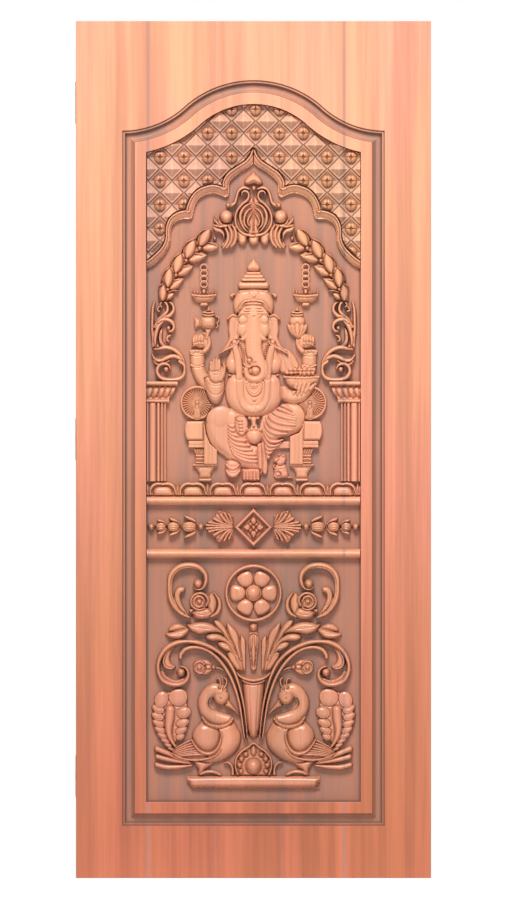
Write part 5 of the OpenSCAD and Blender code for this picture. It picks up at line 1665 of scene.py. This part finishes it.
def buds():
    """Three lily buds and a ball: each a ribbed body held between two curled leaves."""
    r = Relief("frieze_buds_left", 0.9)
    r.origin = (0, FRIEZE_Z)
    curl = marks("0.04 0.28 3, 0.27 0.58 5, 0.52 0.77 5, 0.72 0.89 3.4, 0.82 1.0 1.6")
    for inner, outer, half, tip in marks("-136.5 -177 14.2 27.5, -180 -212 13.4 22, -213.5 -240.5 12 18"):
        mid, w = (inner + outer) / 2, inner - outer
        for s in (1, -1):
            r.stroke([(inner - share * w, s * lift * tip, broad) for share, lift, broad in curl], 8, 15)
        r.dome(mid, 0, (inner - outer) / 2, half, 7, 16)
        for h in (-0.62, -0.22, 0.22, 0.62):
            end = h * 0.45 * half
            r.line([(outer + 4, end, 0.8), (mid, h * half, 1.2), (inner - 4, end, 0.8)], 1.4)
    r.ball(-250.5, 0, 9.4, 6, 18)
    return r.carve()


# ---------------------------------------------------------------- lower panel
MED_Z = 698.0


def med_ring():
    r = Relief("medallion_ring", 1.1)
    q = np.hypot(r.X, r.Z - MED_Z)
    sd = np.abs(q - 66.5) - 4.6
    h = 5 + 10 * np.sqrt(np.clip(1 - ((q - 66.5) / 4.9) ** 2, 0, 1))
    r.put(EVERYWHERE, sd, h, groove=0)
    return r.carve(wall=0.5, edge=1.5)


def med_flower():
    """Six petals round a dome, every petal the same, set out round the middle."""
    bm = bmesh.new()
    layer = bm.verts.layers.float.new("tone")
    rings, spokes = 9, 36
    rows = []
    for i in range(rings + 1):
        q = i / rings
        row = []
        for k in range(spokes):
            a = 2 * math.pi * k / spokes
            spread = abs(math.cos(a)) ** 0.75 * math.copysign(1, math.cos(a))
            u = 38.5 + 20.5 * q * spread
            narrowing = 0.84 + 0.24 * math.cos(a)
            v = 24 * q * abs(math.sin(a)) ** 0.85 * math.copysign(1, math.sin(a)) * narrowing
            h = max(0, 12.6 * max(0.0, 1 - q**2.6) ** 0.7 - 2.4 * math.exp(-((u - 47) / 9) ** 2) * (1 - q))
            vert = bm.verts.new((u * MM, -h * MM, v * MM)) if i else None
            if vert:
                # tone: painted shade at the petal's edge, painted highlight on a band across it
                vert[layer] = -3.0 if i == rings else (1.0 if 0.55 < q < 0.85 else -0.4)
            row.append(vert)
        rows.append(row)
    centre = bm.verts.new((38.5 * MM, -11.2 * MM, 0))
    centre[layer] = 0.2
    foot = [bm.verts.new((v.co.x, 1.0 * MM, v.co.z)) for v in rows[-1]]
    for k in range(spokes):
        j = (k + 1) % spokes
        bm.faces.new((centre, rows[1][k], rows[1][j])).smooth = True
        for i in range(1, rings):
            bm.faces.new((rows[i][k], rows[i + 1][k], rows[i + 1][j], rows[i][j])).smooth = True
        bm.faces.new((rows[-1][k], foot[k], foot[j], rows[-1][j]))
    bm.faces.new(foot[::-1])
    petal = from_bmesh("petal", bm)
    spots = [(0, GROUND_Y - 1.0 - 0.02 * k, MED_Z) for k in range(6)]
    turns = [math.radians(60 * k) for k in range(6)]
    petals = scatter("medallion_petals", petal, spots, CARVED, turns)
    hub = Relief("medallion_flower", 1.0)
    hub.ball(0, MED_Z, 21, 6, 19)
    hub.line([(x, z, 1.2) for x, z in ring_path(0, MED_Z, 16.5, 0, 360, 30)], 1.4)
    return join("carved_medallion_flower", petals, hub.carve(name="medallion_hub"))


def med_stem():
    r = Relief("medallion_stem", 1.0)
    r.patch("-8 607, 8 607, 13 596, 12 578, 8 545, 6 508, -6 508, -8 545, -12 578, -13 596", 4, 9, over=6)
    r.stroke(mirrored("-5 512 1.6, -8 550 2, -12 582 2.4, -11 596 2.4, 0 601 2.4"), 6, 12)
    r.leaf((0, 515), (0, 592), 6, 5, 11)
    r.ball(0, 614, 11.3, 6, 17)
    return r.carve()


def upper_scroll():
    r = Relief("upper_scroll_left", 1.1)
    r.stroke("-160 641 3.4, -173 656 6.4, -184 675 8.4, -187 692 9, -182 704 9, -174 707 7.6", 6, 15)
    r.line("-168 650 0.8, -186 676 1.2, -188 696 1.0", 1.2)
    r.stroke("-156 638 3, -181 651 6, -201 678 7.2, -207 712 7.6, -203 740 7.8, -187 759 7.8, "
             "-163 766.5 7.8, -138 763 7.6, -121 749 7.4, -116 733 7, -120 718 6, -129 709 4.8, "
             "-140 708 3.2, -147 714 2.6", 7, 18.5, groove=2.0)
    r.stroke("-165 644 0.8, -184 660 1.6, -198 690 2, -200 722 2, -190 748 2, -168 759 2, -145 757 1.8, "
             "-128 744 1.2", 13, 17, groove=1.6, outline=False)
    r.ball(-135.5, 720.5, 12.4, 7, 18)
    return r.carve()


def rose():
    r = Relief("rose_left", 1.0)
    r.patch("-152 641, -136 633, -112 634, -97 641, -84 650, -79 664, -80 680, -88 693, -98 701, -112 693, "
            "-128 697, -143 692, -151 682, -153 668, -150 656", 4, 9, over=6)
    r.leaf((-134, 640), (-161, 656), 8, 6, 14, rib=0.8, bend=-0.12)
    r.patch("-153 650, -146 638, -134 633, -114 634, -100 641, -94 654, -112 664, -136 664", 6, 15.5,
            over=12)
    r.line("-146 652 1.0, -128 644 1.4, -104 650 1.0", 1.4)
    r.stroke("-104 640 3, -89 650 6, -82.5 666 6.4, -85 682 5.6, -95 697 3", 7, 15.5)
    r.leaf((-100, 648), (-104, 699), 12, 9, 16.5, belly=0.5)
    r.ball(-133, 677, 21.5, 8, 14, groove=2)
    r.stroke("-120 660 2, -134 657.5 3.4, -149 665 4, -153 679 4.2, -146 692 4.2, -131 698 4.2, "
             "-117 692 4.2, -111 679 4, -116 667 3", 9, 17, groove=1.2)
    r.stroke("-124 667 2, -135 664 3.2, -145 671 3.6, -145 682 3.6, -136 690 3.6, -125 687 3.4, "
             "-120 678 3", 10, 17.5, groove=1.6)
    r.ball(-133, 677, 7, 10, 18, groove=1.8)
    r.line("-136 680 0.9, -131 678 1.0, -133 673 0.8", 1.2)
    return r.carve()


def blade(r, tip, upper, lower, low, high, vein=1.0):
    """One lobe of a leaf between its upper and its lower edge, with a vein down the middle."""
    upper, lower = marks(upper), marks(lower)
    r.patch([tip] + upper + lower[::-1], low, high, over=10, groove=1.5)
    mid = [tip] + [((a + c) / 2, (b + d) / 2) for (a, b), (c, d) in zip(upper, lower)]
    r.line([(x, z, 0.9) for x, z in mid], vein)


def acanthus():
    r = Relief("acanthus_left", 1.1)
    r.patch("-44 508, -6 508, -9 545, -22 566, -44 594, -72 600, -70 578, -56 556, -54 530", 6, 11, over=8)
    # the tall inner lobes, then the lobes down the outer side, each laid over the one before
    blade(r, (-31, 597), "-20 586, -14 572, -10 550, -8 527, -8 509", "-34 584, -36 565, -33 545, -30 525, "
          "-26 509", 8, 14.5)
    blade(r, (-65, 629), "-53 618, -41 605, -34 587, -33 565, -29 535", "-67 617, -64 602, -54 580, "
          "-45 560, -36 535", 8, 15.5)
    blade(r, (-97, 633), "-85 631, -73 621, -64 606, -57 585, -46 560", "-98 624, -90 611, -76 596, "
          "-63 578, -50 556", 8, 16)
    blade(r, (-66, 550), "-57 556, -48 551, -38 538, -31 518, -30 509", "-63 538, -57 527, -50 517, "
          "-43 509, -36 508", 8, 14.5)
    blade(r, (-90, 573), "-83 579, -68 578, -53 568, -42 552, -34 530", "-83 564, -70 556, -56 553, "
          "-46 544, -38 528", 8, 15.2)
    blade(r, (-119, 589), "-112 597, -95 600, -76 594, -60 580, -42 552", "-113 583, -102 579, -84 580, "
          "-64 573, -46 548", 8, 16)
    blade(r, (-166, 629), "-159 622, -145 626, -125 628, -108 625, -93 617, -74 600", "-162 615, -154 604, "
          "-141 598, -129 595.5, -108 600, -88 601", 8, 16.5)
    # one leaf on its own beyond them, its far half turned back
    blade(r, (-210, 606), "-207 613, -196 622, -182 624, -170 619, -162 613", "-205 604, -194 604, "
          "-182 606, -172 609, -163 611", 5, 11, 0.6)
    blade(r, (-218, 599), "-200 603, -182 608, -170 611, -161 613", "-209 589, -192 584.5, -174 587, "
          "-157 604", 7, 14.5, 0.8)
    return r.carve()


def lower_scroll():
    r = Relief("lower_scroll_left", 1.2)
    # inner stem with its small hook, and the curled leaf held inside the big curl
    r.stroke("-22 343 3.2, -29 395 4, -35 430 4.6, -45 465 5, -60 500 5.2, -79 528 5.4, -100 549 5.4, "
             "-123 562 5.4, -148 565.5 5.6, -167 560 6, -177 549 6.2, -179 541 6", 7, 15.5)
    r.patch("-168 577, -188 568, -200 553, -204 538, -200 526, -190 519, -195 512, -208 510, -221 517, "
            "-225 532, -218 557, -205 572, -185 582", 5, 11, over=9)
    r.stroke("-182 578 1.6, -203 565 2.8, -217 545 3.2, -221 528 3.2, -215 516 3, -202 513 2.2, "
             "-193 517 1.4", 8, 15, groove=1.4)
    r.patch("-232 505, -226 488, -208 474, -186 473, -170 480, -161 492, -173 491, -187 486, -201 489, "
            "-213 497, -221 509", 6, 11.5, over=6)
    r.stroke("-15 341 2.6, -20 395 3.4, -25.5 430 4, -34 467 4.6, -46 502 5.2, -62 530 5.8, -83 551 6.2, "
             "-107 566 6.6, -134 576 7, -162 580 7, -188 576 7, -210 565 7, -226 546 6.8, -234 521 6.4, "
             "-231 499 6.4, -221 483 6.4, -203 475 6.4, -184 474 6.6, -168 481 6.6, -160 494 6, -161 507 5, "
             "-168 515 4, -178 518 3", 7, 18.5, groove=2.0, per=6)
    r.line("-62 526 0.8, -84 547 1.2, -108 561.5 1.5, -134 571 1.6, -162 575 1.6, -186 570.5 1.6, "
           "-206 560 1.4, -221 542 1.2, -229 520 0.8", 2.0)
    r.ball(-177.5, 504, 11.8, 7, 18.5)
    return r.carve()


def rosebud():
    r = Relief("rosebud_left", 0.8)
    r.stroke("-98 517 3, -90 515 3.4, -82 513.5 3, -73 509 2.6", 5, 12)
    r.patch("-150 520, -143 533, -130 537, -114 534, -104 526, -99 516, -104 504, -116 496.5, -131 497, "
            "-144 506", 5, 11, over=7)
    r.leaf((-100, 516), (-128, 533), 10, 7, 16, belly=0.5)
    r.leaf((-100, 516), (-126, 500), 9.5, 7, 16, belly=0.5)
    r.leaf((-98, 516), (-124, 517), 7, 8, 16.5, belly=0.5)
    r.ball(-133, 516, 16.5, 8, 14.5, groove=1.8, outline=False)
    r.stroke("-120 508 2, -128 501.5 3.2, -141 505 3.4, -147 516 3.4, -141 527 3.4, -129 530.5 3.4, "
             "-120 523 2.6", 10, 17, outline=False, groove=1.2)
    r.ball(-132.5, 516, 7.4, 11, 17.5, outline=False, groove=1.8)
    r.ball(-98, 516, 6.2, 7, 16)
    return r.carve()


def vase():
    r = Relief("vase", 1.1)
    r.patch("-42 505, -40 495, -29 487, -27 462, -24 430, -20 395, -15 362, -10 346, 0 341, 10 346, 15 362, "
            "20 395, 24 430, 27 462, 29 487, 40 495, 42 505, 20 494, 0 491, -20 494", 4, 13, over=20,
            rounded=False)
    for x in (-12, 12):
        r.line([(x, 478, 1.6), (0.85 * x, 430, 1.8), (0.6 * x, 370, 1.4)], 0.7)
    r.stroke(mirrored("-42 503 2.6, -27 490 4, 0 484 4.4"), 9, 17)
    r.stroke(mirrored("-34 489 1.8, -20 480 2.6, 0 475.5 3"), 8, 15, outline=False)
    return r.carve()


def drop():
    r = Relief("lotus_drop", 1.1)
    for _ in r.both_sides():
        r.stroke("72 282 1.6, 63 283 3.4, 55 277 4.4, 51 266 4.8, 51 253 5", 4, 11)
    onion = mirrored("0 334.5, -8 329, -17 324, -31 314, -41 303, -46.5 291, -48 279, -46 265, -39 251.5")
    r.patch(onion, 5, 8, over=5, rounded=False)
    rim = mirrored("-38 253, -43 266, -44 280, -41 295, -30 309, -14 320, 0 330")
    r.stroke(wide(rim, 3.4).tolist(), 7, 14.5)
    for s in (1, -1):
        for x, z, q in marks("19 303 7.5, 30 291 7.5, 34 276 7.5, 31 261 7"):
            r.ball(s * x, z, q, 5, 14, groove=2)
    r.leaf((0, 302), (0, 325), 8, 6, 14, belly=0.3)
    r.ball(0, 273, 20, 7, 19, groove=2.4)
    return r.carve()


def peacock():
    r = Relief("peacock_left", 1.15)
    # tail raised like a fan: scalloped lobes down both sides of a smooth club
    plume = marks("-207 464, -222 461, -237 452, -246 436, -251 418, -253 400, -251 382, -245 362, "
                  "-236 344, -222 326, -207 313, -196 316, -180 334, -168 346, -160 362, -154 384, "
                  "-151 404, -153 424, -160 446, -177 463, -194 467")
    r.patch([(-203 + 0.86 * (x + 203), 388 + 0.9 * (z - 388)) for x, z in plume], 4, 9, over=6)
    for x, z, rx, rz, turn in marks("-203 317 10 5.4 -30, -210 326 11.5 6 -28, -217 337 13 6.8 -26, "
                                    "-224 349 14.5 7.6 -24, -229.5 363 16 8.4 -22, -233 379 17 9 -20, "
                                    "-235 396 17 9.6 -20, -234 414 17 10.4 -24, -226 437 17 22 -24, "
                                    "-179 346 12 9 34, -176 362 16 9 24, -173 380 18 10 16, "
                                    "-170 405 18.5 14 14, -184 443 24 22.5 14"):
        r.dome(x, z, rx, rz, 9, 13.6, turn=turn, groove=1.8, power=8)
        r.dome(x, z, rx - 3.2, rz - 2.6, 10.5, 13.2, turn=turn, groove=1.5, power=3, outline=False)
    r.stroke("-204 411 11.5, -205.5 391 11.5, -208 368 9.6, -205.5 348 7.2, -198 332 5, -188 318 3.4", 9,
             18, groove=2.6)
    # tail feathers trailing behind
    for pts in ("-152 276 3.6, -184 272 6.4, -214 271.5 7.4, -237 277 7",
                "-156 282 4, -186 286 6, -212 291 7.2, -235 297 7.4",
                "-160 287 4.4, -186 296 6.6, -212 306 7.6, -236 316 8.2"):
        r.stroke(pts, 6, 15, groove=2.0)
    # legs, then the body and breast
    r.patch("-153 290, -97 290, -107 273, -119 263, -123 252, -136 252, -137 266, -144 277", 6, 13.5,
            over=12)
    r.stroke("-129 255 3.6, -114 260 5.2, -99 260 5.4, -87 256 4.8, -80 252 3", 6, 13.5, groove=1.2)
    for x in (-92, -86):
        r.line([(x, 257, 0.8), (x + 4, 252, 0.9)], 1.2)
    r.patch("-122 392, -136 376, -148 352, -152 328, -150 304, -140 290, -122 282, -104 280, -80 286, "
            "-56 298, -38 316, -31 334, -30 350, -37 366, -48 384, -66 394, -96 396", 5, 15.5, over=30)
    r.patch("-202 309, -176 326, -153 342, -130 320, -112 302, -116 289, -152 287, -182 294", 5, 10,
            over=5, groove=1.0)
    ends = marks("-152 338, -148 331, -144 325, -139 318.5, -133 312, -126 306.5, -117 303")
    for k, end in enumerate(ends):
        x, z = -201 + 1.5 * k, 311 - 2.4 * k
        r.stroke([(x, z, 1.4), ((x + end[0]) / 2, (z + end[1]) / 2 + 1.5, 3.2), (end[0], end[1], 3.6)], 9,
                 15 + 0.2 * k, groove=1.8)
    r.patch("-112 382, -132 378, -146 364, -151 344, -144 324, -128 311, -110 307, -94 314, -84 330, "
            "-82 352, -90 372", 8, 17, over=24, groove=2.0)
    r.stroke("-153 340 2.4, -144 325 3.4, -131 311 4.2, -114 304.5 4.8, -98 308 4.6, -86 321 4, "
             "-80 339 3.2, -79 354 2", 11, 18.4, groove=1.8)
    r.stroke("-202 306 1.6, -180 295 2.8, -152 289 3.2, -122 290.5 3.4, -96 298 3.2, -81 312 2", 9, 16,
             groove=1.6)
    # neck bent like a swan's, from the collar up, over the back and down to the head
    neck = marks("-62 388 13, -82 390 17, -102 397 18, -117 412 17, -121 432 16.5, -113 450 16.5, "
                 "-98 461 17, -82 458 18")
    r.stroke(neck, 6, 17, groove=2.4, per=8)
    r.patch("-108 440, -112 428, -106 416, -94 411, -86 416, -88 428, -94 438, -102 442", 1, 1.4, over=2,
            outline=False, groove=0)
    r.ball(-79, 444, 20.5, 8, 17.5, groove=0, tallest=True)
    r.patch("-62 438, -53 428, -42 413, -31 397, -43 404, -57 413, -71 421, -67 430", 7, 15.5, over=8,
            groove=1.3)
    r.ball(-80, 443, 6.8, 14.5, 17.4, outline=False, groove=1.4)
    r.ball(-80, 443, 3.2, 14.5, 18.4, outline=False, groove=1.4)
    for pts in ("-73 463 3, -67 474 3.6, -66 485 3.4, -72 491 2.6",
                "-83 465 3, -81 478 3.6, -84 489 3.2, -90 487 2.4"):
        r.stroke(pts, 6, 14)
    r.stroke("-126 394 3, -114 379 4.4, -96 371.5 5, -76 371.5 5, -60 379 4.4, -50 391 3", 10, 18)
    r.line("-122 386 1, -96 376 1.2, -76 376 1.2, -55 385 1", 1.0)
    for k in range(9):
        u = k / 8
        r.ball(-120 + 66 * u, 381 - 15 * math.sin(math.pi * u) + 2, 2.2, 14, 18.4, outline=False,
               groove=0.8)
    return r.carve()


def plinth():
    r = Relief("base_plinth", 1.3)
    r.patch("-147 219.2, 147 219.2, 155 223, 160 232, 162.8 250, -162.8 250, -160 232, -155 223", 4, 13,
            over=13)
    return r.carve(wall=0.5, edge=2)


# ---------------------------------------------------------------- all the carvings
finish_piece(lattice_ground(), "lattice_panel", LATTICE)
finish_piece(lattice_buttons(), "lattice_buttons", BUTTON)
for node, maker, material in (("cusped_arch", cusped_arch, CARVED), ("garland", garland, CARVED),
                              ("scroll_bracket", bracket, CARVED), ("capital", capital, CARVED),
                              ("pillar", pillar, FIGURE)):
    other_hand(finish_piece(maker(), node + "_right", material), node + "_left", material)
for side, hand in ((1, "right"), (-1, "left")):
    finish_piece(chain(side), "lamp_chain_" + hand, FIGURE)
    finish_piece(lamp(side), "hanging_lamp_" + hand, FIGURE)
    finish_piece(wheel(side), "throne_wheel_" + hand, FIGURE)
for node, maker, material in (("arch_crest", crest, CARVED), ("crest_finial", finial, CARVED),
                              ("throne", throne, FIGURE), ("ganesha_figure", figure, FIGURE),
                              ("mouse", mouse, FIGURE), ("lotus_band", lotus_petals, CARVED),
                              ("frieze_diamond", diamond, CARVED), ("medallion_ring", med_ring, CARVED),
                              ("medallion_flower", med_flower, CARVED),
                              ("medallion_stem", med_stem, CARVED), ("vase", vase, CARVED),
                              ("lotus_drop", drop, CARVED), ("base_plinth", plinth, CARVED)):
    finish_piece(maker(), node, material)
for node in ("upper_bead", "lower_bead"):
    finish_piece(bead(node), node, FIGURE)
for node, maker in (("frieze_palmette", palmette), ("frieze_buds", buds), ("upper_scroll", upper_scroll),
                    ("rose", rose), ("acanthus", acanthus), ("lower_scroll", lower_scroll),
                    ("rosebud", rosebud), ("peacock", peacock)):
    other_hand(finish_piece(maker(), node + "_left", CARVED), node + "_right", CARVED)


# ---------------------------------------------------------------- metal parts and tongues
for node, material in (("board_splines", TONGUE), ("hinge_leaf_plates", BRASS),
                       ("hinge_frame_plates", BRASS), ("hinge_pins", STEEL), ("hinge_screws", SCREW)):
    for obj in bpy.data.objects:
        if obj.type == "MESH" and obj.name.split(".")[0] == node:
            obj.data.materials.clear()
            obj.data.materials.append(material)


# ---------------------------------------------------------------- stage, light and camera
bpy.ops.mesh.primitive_plane_add(size=8, location=(0, 0, 0))
floor = bpy.context.object
floor.name = "pale_floor"
floor.data.materials.append(Finish("pale_floor_paint").put(Base_Color=(0.9, 0.9, 0.9), Roughness=0.7))


def area_light(name, at, aim, size, power, colour=(1, 1, 1)):
    data = bpy.data.lights.new(name, "AREA")
    data.shape = "RECTANGLE"
    data.size, data.size_y = size
    data.energy = power
    data.color = colour
    lamp = bpy.data.objects.new(name, data)
    bpy.context.collection.objects.link(lamp)
    lamp.location = at
    lamp.rotation_euler = (Vector(aim) - Vector(at)).to_track_quat("-Z", "Y").to_euler()
    return lamp


area_light("key_high_in_front", at=(-0.5, -6.2, 9.2), aim=(0, 0, 1.1), size=(4.4, 3.2), power=1420,
           colour=(1.0, 0.985, 0.96))
area_light("fill_low_in_front", at=(0.8, -7.5, 1.2), aim=(0, 0, 1.05), size=(4.0, 3.0), power=60,
           colour=(1.0, 0.98, 0.97))

world = bpy.data.worlds.new("studio")
bpy.context.scene.world = world
world.use_nodes = True
tree = world.node_tree
tree.nodes.clear()
sky_out = tree.nodes.new("ShaderNodeOutputWorld")
seen = tree.nodes.new("ShaderNodeBackground")
seen.inputs[0].default_value = (1, 1, 1, 1)
seen.inputs[1].default_value = 1.0
glow = tree.nodes.new("ShaderNodeBackground")
glow.inputs[0].default_value = (1, 0.99, 0.98, 1)
glow.inputs[1].default_value = 0.16
rays = tree.nodes.new("ShaderNodeLightPath")
pick = tree.nodes.new("ShaderNodeMixShader")
tree.links.new(rays.outputs["Is Camera Ray"], pick.inputs[0])
tree.links.new(glow.outputs[0], pick.inputs[1])
tree.links.new(seen.outputs[0], pick.inputs[2])
tree.links.new(pick.outputs[0], sky_out.inputs[0])

VIEW_HEIGHT = 2.2054    # metres from the top of the view to its bottom
VIEW_MIDDLE = 1.0488    # height of the camera, which looks straight at the door
VIEW_DISTANCE = 6.0
camera_data = bpy.data.cameras.new("front_camera")
camera_data.type = "ORTHO"
camera_data.ortho_scale = VIEW_HEIGHT
camera = bpy.data.objects.new("front_camera", camera_data)
bpy.context.collection.objects.link(camera)
camera.location = (0, -VIEW_DISTANCE, VIEW_MIDDLE)
camera.rotation_euler = (math.pi / 2, 0, 0)
bpy.context.scene.camera = camera
bpy.context.scene.view_settings.view_transform = "Standard"
